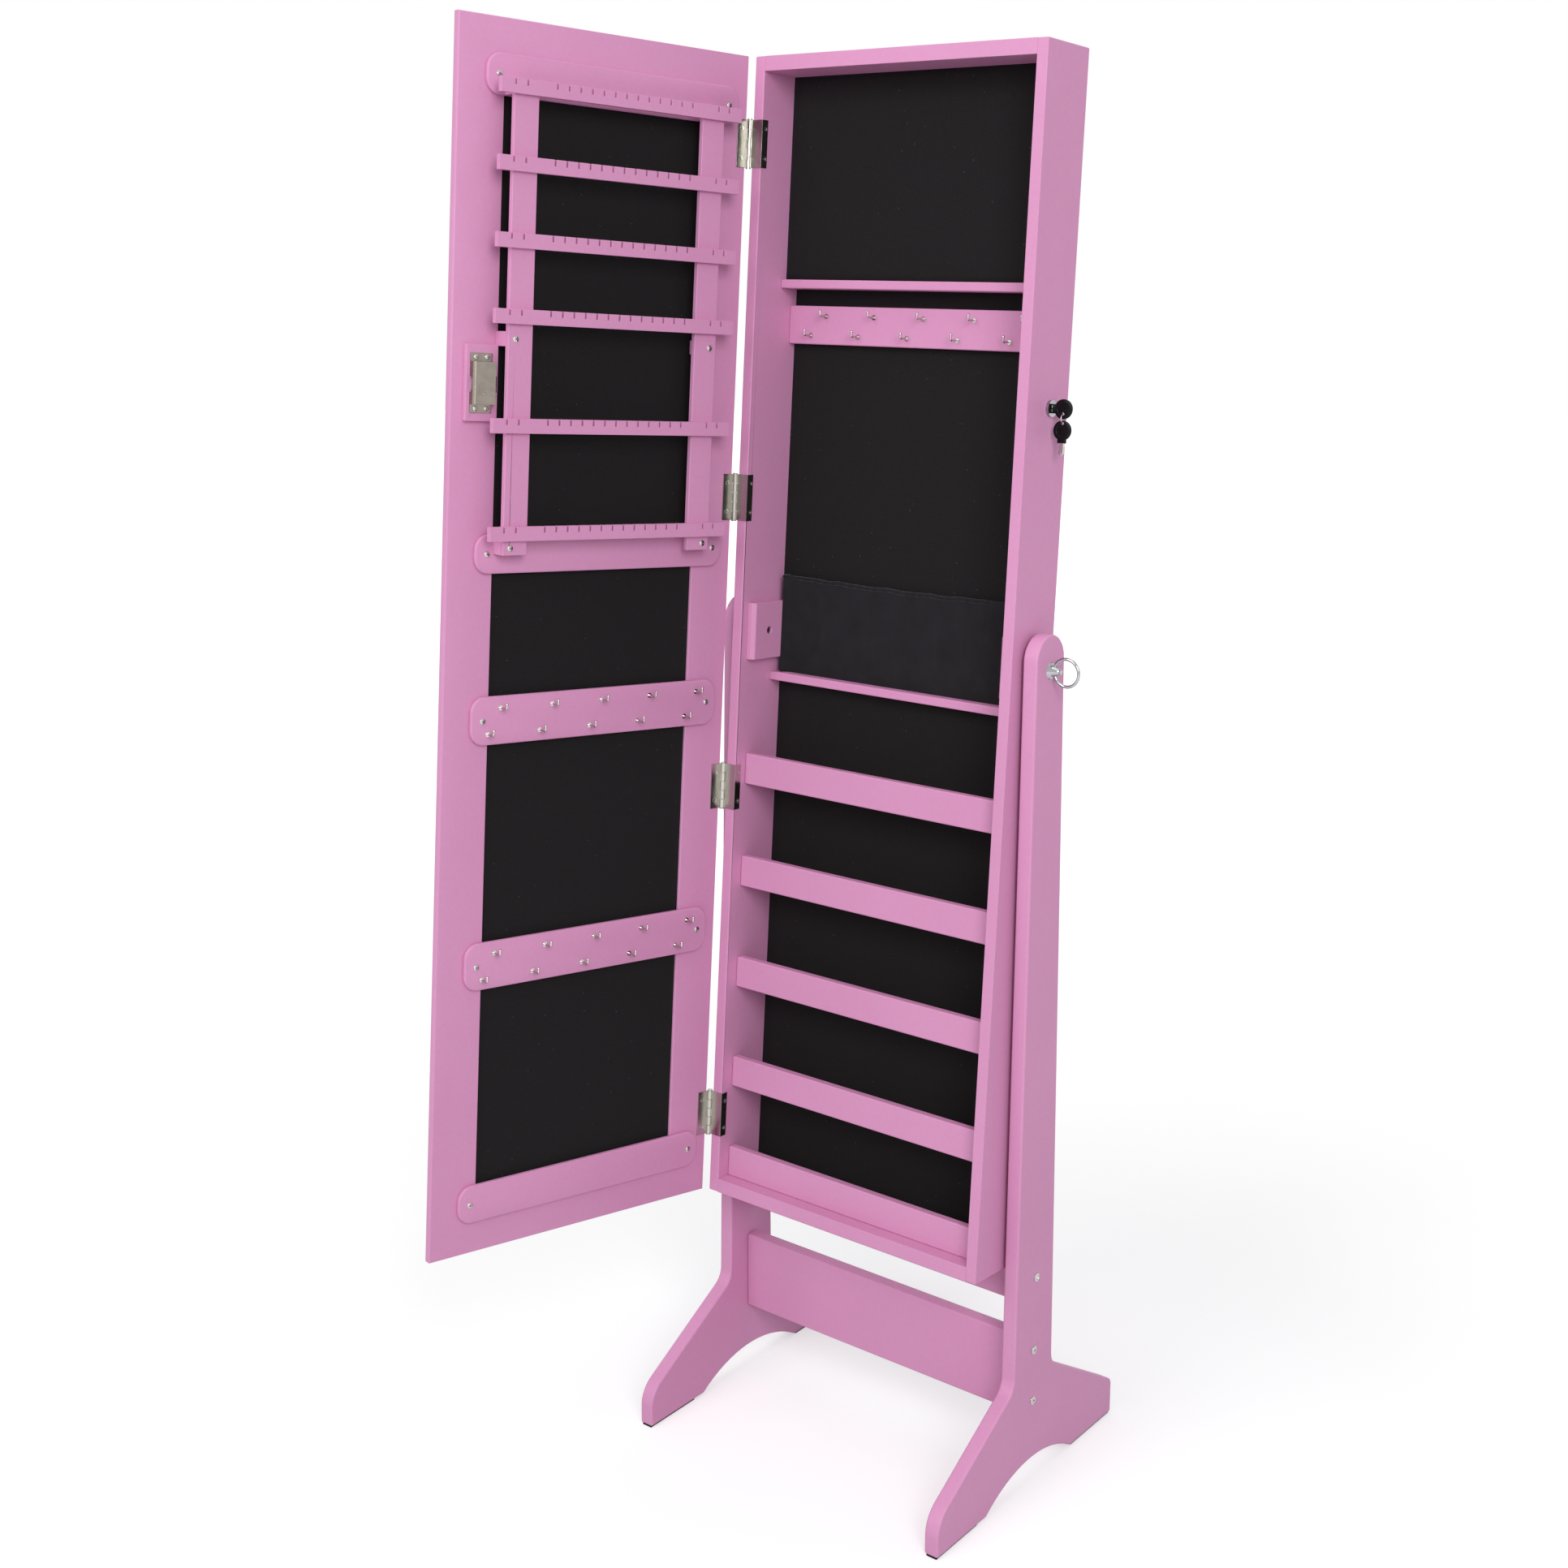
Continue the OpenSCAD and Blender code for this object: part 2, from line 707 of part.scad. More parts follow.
// Cloth pouch that holds the ends of long necklaces: a front and two sides, open at the top.
module necklace_pouch() {
    w = inner_w - 2 * pivot_block_t - 2 * free_gap;
    color(felt) on_cabinet()
        translate([-w / 2, felt_face - pouch_d, middle_shelf_up + shelf_t]) linear_extrude(pouch_h)
            difference() {
                square([w, pouch_d]);
                translate([pouch_t, pouch_t]) square([w - 2 * pouch_t, pouch_d]);
            }
}

module tray_rails()
    color(pink) on_cabinet() for (i = [0:tray_count - 1])
        cross_board(first_rail_up + i * rail_pitch - rail_h, rail_setback, rail_h, rail_setback + rail_t);

module tray_floors()
    color(pink) on_cabinet() for (i = [0:tray_count - 1])
        cross_board(first_rail_up + i * rail_pitch - rail_h, rail_setback + rail_t, floor_t);

module bottom_rail()
    color(pink) on_cabinet() cross_board(board_t, rail_setback, rail_h, rail_setback + rail_t);

module pivot_blocks()
    color(pink) on_cabinet() both_sides() difference() {
        translate([0, 0, pivot_up - pivot_block / 2]) linear_extrude(pivot_block) polygon([
            [wall_in, pivot_y - pivot_block_d / 2],
            [wall_in - pivot_block_t + pivot_block_chamfer, pivot_y - pivot_block_d / 2],
            [wall_in - pivot_block_t, pivot_y - pivot_block_d / 2 + pivot_block_chamfer],
            [wall_in - pivot_block_t, pivot_y + pivot_block_d / 2 - pivot_block_chamfer],
            [wall_in - pivot_block_t + pivot_block_chamfer, pivot_y + pivot_block_d / 2],
            [wall_in, pivot_y + pivot_block_d / 2]
        ]);
        translate([insert_x, pivot_y, pivot_up]) rotate([0, 90, 0])
            cylinder(d = insert_d + 2 * screw_fit, h = pivot_block_t);
        translate([wall_in - pivot_block_t - 1, pivot_y, pivot_up]) rotate([0, 90, 0])
            cylinder(d = tilt_bolt_d + 2 * run_fit, h = pivot_block_t);
    }

// Threaded sleeves for the tilt bolts, let into the walls and blocks from outside.
module pivot_inserts()
    color(nickel) on_cabinet() both_sides()
        translate([insert_x, pivot_y, pivot_up]) rotate([0, 90, 0]) difference() {
            cylinder(d = insert_d, h = cab_w / 2 - insert_x);
            translate([0, 0, -1])
                cylinder(d = tilt_bolt_d + 2 * run_fit, h = cab_w / 2 - insert_x + 2);
        }

// ---------- hinges ----------

// Knuckles of one leaf round the pin axis; odd says which of the alternating knuckles.
module knuckles(odd)
    for (i = [0:knuckles - 1])
        if (i % 2 == odd)
            translate([0, 0, -hinge_h / 2 + i * knuckle_h + free_gap / 2]) children();

// Neck that joins a knuckle to its leaf; side is -1 on the door and 1 on the cabinet.
module neck(side)
    translate([pin_d / 2 + 0.5, side > 0 ? door_gap / 2 - leaf_t : -door_gap / 2, 0])
        cube([hinge_out - pin_d / 2 - 0.5 + eps, leaf_t, knuckle_h - free_gap]);

// Half of a hinge about the pin axis: its knuckles and the necks to its leaf.
module hinge_half(side) {
    odd = side > 0 ? 0 : 1;
    difference() {
        union() {
            knuckles(odd) cylinder(d = knuckle_d, h = knuckle_h - free_gap);
            knuckles(odd) neck(side);
        }
        translate([0, 0, -hinge_h]) cylinder(d = pin_d + 2 * run_fit, h = 2 * hinge_h);
    }
}

module pin_axis_at() for (z = hinges_z) translate([-cab_w / 2 - hinge_out, -door_gap / 2, z]) children();

// The cabinet's leaf lies on the wall's front edge and turns in along its inner face.
module cabinet_leaf()
    difference() {
        union() {
            hinge_half(1);
            translate([hinge_out, door_gap / 2 - leaf_t, -hinge_h / 2])
                cube([wall_t + leaf_t, leaf_t, hinge_h]);
            translate([hinge_out + wall_t, door_gap / 2 - leaf_t, -hinge_h / 2])
                cube([leaf_t, leaf_t + flange_d, hinge_h]);
        }
        for (z = leaf_screws_z)
            translate([hinge_out + wall_t, door_gap / 2 + flange_d / 2, z]) into_wall() {
                leaf_hole();
                leaf_sink();
            }
    }

// Turns a leaf screw so that it points from the flange into the wall on its left.
module into_wall() rotate([0, 0, 90]) children();

// Shank hole of a leaf screw that points along +y; y = 0 is the wood's surface.
module leaf_hole()
    translate([0, -leaf_t - 1, 0]) rotate([-90, 0, 0])
        cylinder(d = small_shank_d + 2 * screw_fit, h = leaf_t + 2 + leaf_bite, $fn = 24);

// Recess that lets the head of a leaf screw lie flush in the leaf.
module leaf_sink()
    translate([0, -leaf_t - 1, 0]) rotate([-90, 0, 0])
        cylinder(d = leaf_head_d + 2 * screw_fit, h = leaf_head_t + 1, $fn = 32);

module cabinet_leaf_screw_at()
    for (z = hinges_z, dz = leaf_screws_z)
        translate([-wall_in, flange_d / 2, z + dz]) into_wall() children();

module cabinet_leaves() color(nickel) on_cabinet() pin_axis_at() cabinet_leaf();

module leaf_screw(bite)
    translate([0, -leaf_t, 0]) rotate([-90, 0, 0]) {
        cylinder(d = leaf_head_d, h = leaf_head_t, $fn = 32);
        cylinder(d = small_shank_d, h = leaf_t + bite, $fn = 24);
    }

module cabinet_leaf_screws() color(nickel) on_cabinet() cabinet_leaf_screw_at() leaf_screw(leaf_bite);

module hinge_pins()
    color(nickel) on_cabinet() pin_axis_at() {
        translate([0, 0, -hinge_h / 2 - pin_head_t]) cylinder(d = pin_d, h = hinge_h + 2 * pin_head_t);
        both_ends() translate([0, 0, hinge_h / 2]) cylinder(d = knuckle_d - 0.6, h = pin_head_t);
    }

module both_ends() {
    children();
    mirror([0, 0, 1]) children();
}

module door_leaf_screw_at()
    for (z = hinges_z, dz = leaf_screws_z) translate([door_leaf_w / 2 + 0.5, 0, z + dz]) children();

module door_leaves()
    color(nickel) on_door() difference() {
        union() {
            for (z = hinges_z) translate([-hinge_out, door_gap / 2, z]) hinge_half(-1);
            for (z = hinges_z) translate([0, 0, z - hinge_h / 2]) cube([door_leaf_w, leaf_t, hinge_h]);
        }
        door_leaf_screw_at() mirror([0, 1, 0]) {
            leaf_hole();
            leaf_sink();
        }
    }

module door_leaf_screws()
    color(nickel) on_door() door_leaf_screw_at() mirror([0, 1, 0]) leaf_screw(door_leaf_bite);

// ---------- lock ----------

module on_lock_axis() on_cabinet() translate([0, lock_back, lock_z]) children();

module lock_barrel()
    color(nickel) on_lock_axis() difference() {
        union() {
            translate([barrel_in, 0, 0]) rotate([0, 90, 0])
                cylinder(d = lock_d, h = cab_w / 2 - barrel_in + eps);
            translate([cab_w / 2, 0, 0]) rotate([0, 90, 0]) cylinder(d = lock_rim_d, h = rim_out);
        }
        translate([barrel_in - 1, 0, 0]) rotate([0, 90, 0])
            cylinder(d = plug_d + 2 * run_fit, h = cab_w / 2 + rim_out - barrel_in + 2);
    }

module lock_nut()
    color(nickel) on_lock_axis() translate([barrel_in, 0, 0]) rotate([0, 90, 0]) difference() {
        cylinder(d = lock_nut_af / cos(30), h = lock_nut_t, $fn = 6);
        translate([0, 0, -1]) cylinder(d = lock_d + 2 * screw_fit, h = lock_nut_t + 2);
    }

module lock_plug()
    color(nickel) on_lock_axis() difference() {
        union() {
            translate([cam_x + cam_t, 0, 0]) rotate([0, 90, 0])
                cylinder(d = plug_d, h = cab_w / 2 + rim_out - cam_x - cam_t - 0.3);
            translate([cam_x - 1.5, 0, 0]) rotate([0, 90, 0]) cylinder(d = 5, h = cam_t + 1.5 + eps);
        }
        translate([cab_w / 2 - 4, -blade_t / 2 - screw_fit, -blade_w / 2 - screw_fit])
            cube([rim_out + 5, blade_t + 2 * screw_fit, blade_w + 2 * screw_fit]);
    }

// Cam on the end of the plug. It hangs down when the lock is open.
module lock_cam()
    color(nickel) on_lock_axis() translate([cam_x, 0, 0]) rotate([90, 0, 90]) linear_extrude(cam_t)
        difference() {
            union() {
                circle(d = cam_hub_d);
                translate([-cam_w / 2, -cam_l + cam_w / 2]) square([cam_w, cam_l - cam_w / 2]);
                translate([0, -cam_l + cam_w / 2]) circle(d = cam_w);
            }
            circle(d = 5 + 2 * screw_fit);
        }

// Moulded bow of a key with its shoulder, standing in the XZ plane; the blade leaves it towards angle.
module bow(hole_z, angle)
    rotate([90, 0, 0]) translate([0, 0, -bow_t / 2]) difference() {
        linear_extrude(bow_t) {
            circle(d = bow_d, $fn = 64);
            rotate([0, 0, angle]) translate([0, -shoulder_w / 2])
                square([bow_d / 2 + shoulder_l, shoulder_w]);
        }
        translate([0, hole_z, -1]) cylinder(d = bow_hole_d, h = bow_t + 2, $fn = 32);
    }

// Cut blade of a key along +x from the middle of its bow, in the XZ plane.
module blade(l)
    rotate([90, 0, 0]) translate([0, 0, -blade_t / 2]) linear_extrude(blade_t) difference() {
        polygon([
            [0, -blade_w / 2], [l - 3, -blade_w / 2], [l, 0],
            [l - 1.5, blade_w / 2], [0, blade_w / 2]
        ]);
        for (i = [0:blade_cuts - 1])
            translate([l - 3.5 - i * cut_pitch, -blade_w / 2]) rotate(45)
                square(0.9 + 0.4 * (i % 2), center = true);
    }

module lock_key()
    color(black) on_lock_axis() translate([bow_x, 0, 0]) {
        bow(-bow_hole_drop, 180);
        rotate([0, 180, 0]) blade(bow_out + 3);
    }

module key_ring()
    color(nickel) on_cabinet() translate([bow_x, lock_back, ring_z]) rotate([0, 90, 0])
        rotate_extrude() translate([ring_r, 0]) circle(d = key_wire, $fn = 24);

module spare_key()
    color(black) on_cabinet() translate([bow_x, lock_back, spare_z]) {
        bow(spare_hole_up, -90);
        rotate([0, 90, 0]) blade(bow_d / 2 + key_blade_l);
    }

// ---------- door ----------

module door_frame()
    color(pink) on_door() difference() {
        translate([0, -door_t, 0]) cube([door_w, door_t, cab_h]);
        translate([stile_hinge, -door_t - 1, door_rail])
            cube([door_w - stile_hinge - stile_lock, door_t + 2, cab_h - 2 * door_rail]);
        translate([mirror_rim, -door_t - 1, mirror_rim])
            cube([door_w - 2 * mirror_rim, mirror_t + felt_board_t + 1, cab_h - 2 * mirror_rim]);
        strip_screw_at() small_hole(small_bite);
        door_leaf_screw_at() mirror([0, 1, 0]) leaf_hole();
    }

module pocket_plate(y, t)
    translate([mirror_rim, y, mirror_rim]) cube([door_w - 2 * mirror_rim, t, cab_h - 2 * mirror_rim]);

module mirror_glass() color(silver) on_door() pocket_plate(-door_t, mirror_t);

module felt_board() color(felt) on_door() pocket_plate(-door_t + mirror_t, felt_board_t);

module strip_screw_at()
    for (s = strips, x = strip_screws_x) translate([x, 0, s[0] + s[1] / 2]) children();

// Cross strip on the inner face, with well-rounded corners.
module strip(i)
    color(pink) on_door() difference() {
        translate([strip_start, strip_t, strips[i][0]]) rotate([90, 0, 0]) linear_extrude(strip_t)
            polygon(rounded([
                [0, 0, strip_r],
                [strip_l, 0, strip_r],
                [strip_l, strips[i][1], strip_r],
                [0, strips[i][1], strip_r]
            ]));
        strip_screw_at() translate([0, strip_t, 0]) small_hole(strip_t + small_bite);
    }

// Wood screws of the cross strips and of the earring rack.
module door_screws()
    color(nickel) on_door() {
        strip_screw_at() translate([0, strip_t, 0]) small_screw(strip_t + small_bite - 0.5);
        rack_screw_at() small_screw(rack_post_t + 5);
    }

// Slots of one slat, as distances from its end: two near each end and a row in the middle.
slots_x = concat(
    [for (i = [0:mid_slots - 1]) slat_l / 2 + (i - (mid_slots - 1) / 2) * slot_pitch],
    [for (i = [0:1]) end_slot + i * slot_pitch],
    [for (i = [0:1]) slat_l - end_slot - i * slot_pitch]
);

// Earring slat with slots that open at its upper edge.
module slat(i)
    color(pink) on_door() translate([slat_start, slat_back + slat_t, slat_z(i)]) rotate([90, 0, 0])
        linear_extrude(slat_t) difference() {
            square([slat_l, slat_h]);
            for (x = slots_x) translate([x - slot_w / 2, slat_h - slot_h]) square([slot_w, slot_h + 1]);
        }

module rack_posts()
    color(pink) on_door() difference() {
        for (x = rack_posts_x)
            translate([x, rack_standoff, rack_bottom])
                cube([rack_post_w, rack_post_t, rack_top - rack_bottom]);
        rack_screw_at() small_hole(rack_post_t + 6);
    }

// Spacers that carry the rack posts: on the top strip, on the strip below the rack and on the stiles.
module rack_spacers()
    color(pink) on_door() difference() {
        for (side = [0, 1]) {
            x = rack_posts_x[side] + (side == 0 ? 0 : rack_post_w - spacer_w);
            translate([x, strip_t, rack_top - spacer_h]) cube([spacer_w, rack_standoff - strip_t, spacer_h]);
            translate([x, strip_t, rack_bottom]) cube([spacer_w, rack_standoff - strip_t, spacer_h]);
            translate([x, 0, mid_spacer_z - spacer_h / 2]) cube([spacer_w, rack_standoff, spacer_h]);
        }
        rack_screw_at() small_hole(rack_post_t + 6);
    }

module rack_screw_at()
    for (side = [0, 1], z = [mid_spacer_z, rack_bottom + rack_screw_up])
        translate([
            rack_posts_x[side] + (side == 0 ? spacer_w / 2 : rack_post_w - spacer_w / 2),
            slat_back,
            z
        ]) children();

module necklace_hooks(i)
    color(nickel) on_door() translate([0, strip_t, 0])
        hook_grid(door_w / 2 - 10, strips[i][0] + strips[i][1], hook_rows,
            door_hook_pitch, door_hook_stagger) hook();

// ---------- strike ----------

module strike_block()
    color(pink) on_door() difference() {
        translate([block_x, 0, case_mid_z - block_h / 2]) cube([block_w, block_t, block_h]);
        strike_screw_at() small_hole(block_t - 1);
    }

module strike_screw_at()
    for (dx = [case_w / 4, case_w * 3 / 4], side = [-1, 1])
        translate([case_x + dx, block_t, case_mid_z + side * (case_flange_h + case_h) / 4]) children();

// Sheet-metal case with two flanges, an arched mouth in its outer side and a slit for the keeper.
module strike_case()
    color(nickel) on_door() difference() {
        union() {
            translate([case_x, block_t, case_mid_z - case_flange_h / 2])
                cube([case_w, case_t, case_flange_h]);
            translate([case_x, block_t, case_mid_z - case_h / 2])
                linear_extrude(case_h) case_section(0, case_d);
            translate([case_x + case_w / 2, block_t + case_d, case_mid_z - case_h / 4]) rotate([-90, 0, 0])
                cylinder(d = case_rivet_d, h = case_rivet_t, $fn = 32);
        }
        translate([case_x, block_t, case_mid_z - case_h / 2 + case_t])
            linear_extrude(case_h - 2 * case_t) case_section(case_t, case_d);
        translate([case_x + case_w - case_t - 1, block_t, lock_z]) stand_up(case_t + 2) mouth();
        translate([case_x - 1, block_t - 1, lock_z - keeper_h / 2 - screw_fit])
            cube([case_t + 2, 1 + keeper_t + 0.2, keeper_h + 2 * screw_fit]);
        strike_screw_at() small_hole_through();
    }

// Section of the case's box, drawn smaller by inset; its outer corner is rolled.
module case_section(inset, depth)
    polygon(rounded([
        [inset, inset > 0 ? -1 : 0, 0],
        [case_w - inset, inset > 0 ? -1 : 0, 0],
        [case_w - inset, depth - inset, case_roll - inset],
        [inset, depth - inset, 0]
    ]));

// Arched mouth, open at the foot; x is the distance from the block and y runs up the door.
module mouth() {
    rise = mouth_h / 2;
    arch_r = (pow(mouth_l / 2, 2) + pow(rise, 2)) / (2 * rise);
    translate([-1, -mouth_l / 2]) square([1 + mouth_h - rise, mouth_l]);
    intersection() {
        translate([mouth_h - arch_r, 0]) circle(r = arch_r, $fn = 96);
        translate([mouth_h - rise - eps, -mouth_l / 2]) square([rise + 2 * eps, mouth_l]);
    }
}

module small_hole_through() translate([0, case_t + 1, 0]) small_hole(case_t + 2);

module strike_keeper()
    color(nickel) on_door()
        translate([case_x - keeper_tab, block_t, lock_z - keeper_h / 2])
            cube([keeper_tab + case_w - case_t - 0.5, keeper_t, keeper_h]);

module strike_screws()
    color(nickel) on_door() strike_screw_at() translate([0, case_t, 0]) strike_screw();

module strike_screw() {
    rotate([-90, 0, 0]) cylinder(d = case_screw_d, h = case_screw_t, $fn = 32);
    rotate([90, 0, 0]) translate([0, 0, -eps])
        cylinder(d = small_shank_d, h = case_t + block_t - 1.5, $fn = 24);
}

// ---------- tilt knobs ----------

// Bolt with a domed collar, a tapered hub and a ring grip, on the right side.
module knob()
    translate([post_x + post_t, 0, pivot_h]) {
        rotate([0, -90, 0]) cylinder(d = tilt_bolt_d, h = bolt_l);
        rotate([0, 90, 0]) rotate_extrude($fn = 64) polygon([
            [0, 0],
            [knob_collar_d / 2, 0],
            [knob_collar_d / 2 - 0.5, knob_collar_t / 3],
            [hub_root_d / 2, knob_collar_t],
            [hub_tip_d / 2, hub_l - 1],
            [rivet_d / 2, hub_l],
            [rivet_d / 2, hub_l + rivet_l - 0.5],
            [rivet_d / 2 - 0.5, hub_l + rivet_l],
            [0, hub_l + rivet_l]
        ]);
        translate([grip_out, 0, 0]) rotate([90, 0, 0]) rotate_extrude($fn = 64)
            translate([(grip_d - grip_wire) / 2, 0]) circle(d = grip_wire, $fn = 24);
    }

module right_knob() color(nickel) knob();

module left_knob() color(nickel) mirror([1, 0, 0]) knob();

// ---------- assembly ----------

left_post();
right_post();
lower_stretcher();
rear_rail();
stand_screws();
foot_pads();
left_wall();
right_wall();
top_board();
bottom_board();
back_panel();
felt_lining();
earring_board();
upper_shelf();
hook_rail();
rail_hooks();
middle_shelf();
necklace_pouch();
tray_floors();
tray_rails();
bottom_rail();
pivot_blocks();
pivot_inserts();
cabinet_leaves();
cabinet_leaf_screws();
hinge_pins();
lock_barrel();
lock_nut();
lock_plug();
lock_cam();
lock_key();
key_ring();
spare_key();
door_frame();
mirror_glass();  // mirror
felt_board();
strip(0);  // strip_1
strip(1);  // strip_2
strip(2);  // strip_3
strip(3);  // strip_4
strip(4);  // strip_5
rack_posts();
rack_spacers();
door_screws();
slat(0);  // slat_1
slat(1);  // slat_2
slat(2);  // slat_3
slat(3);  // slat_4
slat(4);  // slat_5
slat(5);  // slat_6
necklace_hooks(2);  // upper_necklace_hooks
necklace_hooks(3);  // lower_necklace_hooks
strike_block();
strike_case();
strike_keeper();
strike_screws();
door_leaves();
door_leaf_screws();
left_knob();
right_knob();
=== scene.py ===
# Standing jewelry armoire: finishes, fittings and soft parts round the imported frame.
import json
import math
import random

import bmesh
import bpy
from mathutils import Matrix, Vector, noise


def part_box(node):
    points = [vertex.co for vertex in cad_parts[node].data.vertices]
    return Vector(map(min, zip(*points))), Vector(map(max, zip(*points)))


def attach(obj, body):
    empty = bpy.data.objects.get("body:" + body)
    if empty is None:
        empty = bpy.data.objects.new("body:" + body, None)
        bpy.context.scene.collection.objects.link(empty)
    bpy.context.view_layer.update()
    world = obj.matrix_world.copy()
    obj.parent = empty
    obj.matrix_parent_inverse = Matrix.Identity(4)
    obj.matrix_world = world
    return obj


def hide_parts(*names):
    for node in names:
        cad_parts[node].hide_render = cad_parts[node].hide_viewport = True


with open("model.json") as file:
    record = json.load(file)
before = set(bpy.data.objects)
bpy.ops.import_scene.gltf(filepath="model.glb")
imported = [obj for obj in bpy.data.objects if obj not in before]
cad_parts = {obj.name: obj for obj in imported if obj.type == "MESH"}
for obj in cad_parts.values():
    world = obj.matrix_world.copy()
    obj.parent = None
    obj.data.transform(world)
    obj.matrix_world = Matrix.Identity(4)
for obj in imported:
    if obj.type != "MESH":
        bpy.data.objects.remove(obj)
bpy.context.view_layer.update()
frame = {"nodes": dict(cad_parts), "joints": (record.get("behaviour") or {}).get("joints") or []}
cadNodes = frame["nodes"]
mm = 0.001
weldDistance = 0.002 * mm
print("frame loaded:", len(cadNodes), "nodes")

# ---- camera, floor and light ----

view = {
    "place": (1.2063, -1.7033, 1.2576),
    "down": 10.57,
    "yaw": 38.55,
    "lens": 48.11,
    "shift": (0.0091, -0.0971),
}

cameraData = bpy.data.cameras.new("camera")
cameraData.lens = view["lens"]
cameraData.sensor_width = 36
cameraData.shift_x, cameraData.shift_y = view["shift"]
cameraData.clip_end = 60
camera = bpy.data.objects.new("camera", cameraData)
camera.location = view["place"]
camera.rotation_euler = (math.radians(90 - view["down"]), 0, math.radians(view["yaw"]))
bpy.context.scene.collection.objects.link(camera)
bpy.context.scene.camera = camera
bpy.context.scene.view_settings.view_transform = "Standard"


def linear(hexColour):  # sRGB hex to the linear colour that shaders take
    parts = [int(hexColour[i:i + 2], 16) / 255 for i in (1, 3, 5)]
    return tuple(c / 12.92 if c <= 0.04045 else ((c + 0.055) / 1.055) ** 2.4 for c in parts) + (1.0,)


def addNode(tree, kind, settings=None, links=None):
    made = tree.nodes.new(kind)
    for name, value in (settings or {}).items():
        if isinstance(name, int) or name in made.inputs:
            made.inputs[name].default_value = value
        else:
            setattr(made, name, value)
    for name, source in (links or {}).items():
        tree.links.new(source, made.inputs[name])
    return made


studio = {
    "ambient": ("#F4F5F8", 0.56),
    "backdrop": ("#FFFFFF", 1.0),
    "floorColours": ("#C6C6C6", "#CCCCCC"),
    "floorCloud": 3.0,  # clouds in each metre
    # how much of the floor's white is its own, near the armoire and far from it, so that shadows stay pale
    "floorGlow": (0.5, 0.9),
    "glowSpread": (0.6, 3.0),
    "floorSize": 14.0,
}


def seesBackground(tree):  # 1 for camera, transmission and glossy rays, so metal and glass show the white too
    rays = addNode(tree, "ShaderNodeLightPath")
    direct = addNode(tree, "ShaderNodeMath", {"operation": "MAXIMUM"},
                     {0: rays.outputs["Is Camera Ray"], 1: rays.outputs["Is Transmission Ray"]})
    return addNode(tree, "ShaderNodeMath", {"operation": "MAXIMUM"},
                   {0: direct.outputs[0], 1: rays.outputs["Is Glossy Ray"]}).outputs[0]


world = bpy.data.worlds.new("studio")
bpy.context.scene.world = world
world.use_nodes = True
tree = world.node_tree
tree.nodes.clear()
ambient = addNode(tree, "ShaderNodeBackground",
                  {"Color": linear(studio["ambient"][0]), "Strength": studio["ambient"][1]})
backdrop = addNode(tree, "ShaderNodeBackground",
                   {"Color": linear(studio["backdrop"][0]), "Strength": studio["backdrop"][1]})
mixed = addNode(tree, "ShaderNodeMixShader", None,
                {0: seesBackground(tree), 1: ambient.outputs[0], 2: backdrop.outputs[0]})
addNode(tree, "ShaderNodeOutputWorld", None, {"Surface": mixed.outputs[0]})


def softbox(name, place, aim, size, power):
    data = bpy.data.lights.new(name, "AREA")
    data.shape = "RECTANGLE"
    data.size, data.size_y = size
    data.energy = power
    lamp = bpy.data.objects.new(name, data)
    lamp.location = place
    lamp.rotation_euler = (Vector(aim) - Vector(place)).to_track_quat("-Z", "Y").to_euler()
    bpy.context.scene.collection.objects.link(lamp)


softbox("keyLight", (-0.6, -3.6, 2.85), (0, 0, 0.8), (2.2, 2.2), 57)
softbox("fillLight", (2.5, -2.2, 2.3), (0, 0, 1.0), (1.2, 1.8), 58)
softbox("topLight", (-0.2, -0.4, 4.2), (0, 0, 0.8), (2.0, 2.0), 16)

floorMaterial = bpy.data.materials.new("matteStudioFloor")
floorMaterial.use_nodes = True
tree = floorMaterial.node_tree
tree.nodes.clear()
away = addNode(tree, "ShaderNodeVectorMath", {"operation": "LENGTH"},
               {0: addNode(tree, "ShaderNodeTexCoord").outputs["Object"]})
spread = addNode(tree, "ShaderNodeMapRange", {
    "From Min": studio["glowSpread"][0], "From Max": studio["glowSpread"][1],
    "To Min": studio["floorGlow"][0], "To Max": studio["floorGlow"][1],
}, {0: away.outputs["Value"]})
glow = addNode(tree, "ShaderNodeMath", {"operation": "MULTIPLY"},
               {0: seesBackground(tree), 1: spread.outputs[0]})
grain = addNode(tree, "ShaderNodeTexNoise", {"Scale": studio["floorCloud"], "Detail": 4.0},
                {"Vector": addNode(tree, "ShaderNodeTexCoord").outputs["Object"]})
tone = addNode(tree, "ShaderNodeMix", {
    "data_type": "RGBA", "A": linear(studio["floorColours"][0]), "B": linear(studio["floorColours"][1]),
}, {0: grain.outputs[0]})
diffuse = addNode(tree, "ShaderNodeBsdfDiffuse", None, {"Color": tone.outputs["Result"]})
emission = addNode(tree, "ShaderNodeEmission", {"Color": (1, 1, 1, 1)}, {"Strength": glow.outputs[0]})
both = addNode(tree, "ShaderNodeAddShader", None, {0: diffuse.outputs[0], 1: emission.outputs[0]})
addNode(tree, "ShaderNodeOutputMaterial", None, {"Surface": both.outputs[0]})

floorMesh = bpy.data.meshes.new("floor")
flat = bmesh.new()
bmesh.ops.create_circle(flat, cap_ends=True, segments=96, radius=studio["floorSize"])
flat.to_mesh(floorMesh)
flat.free()
floorMesh.materials.append(floorMaterial)
floor = bpy.data.objects.new("floor", floorMesh)
bpy.context.scene.collection.objects.link(floor)
print("camera, floor and light placed")

# ---- materials ----


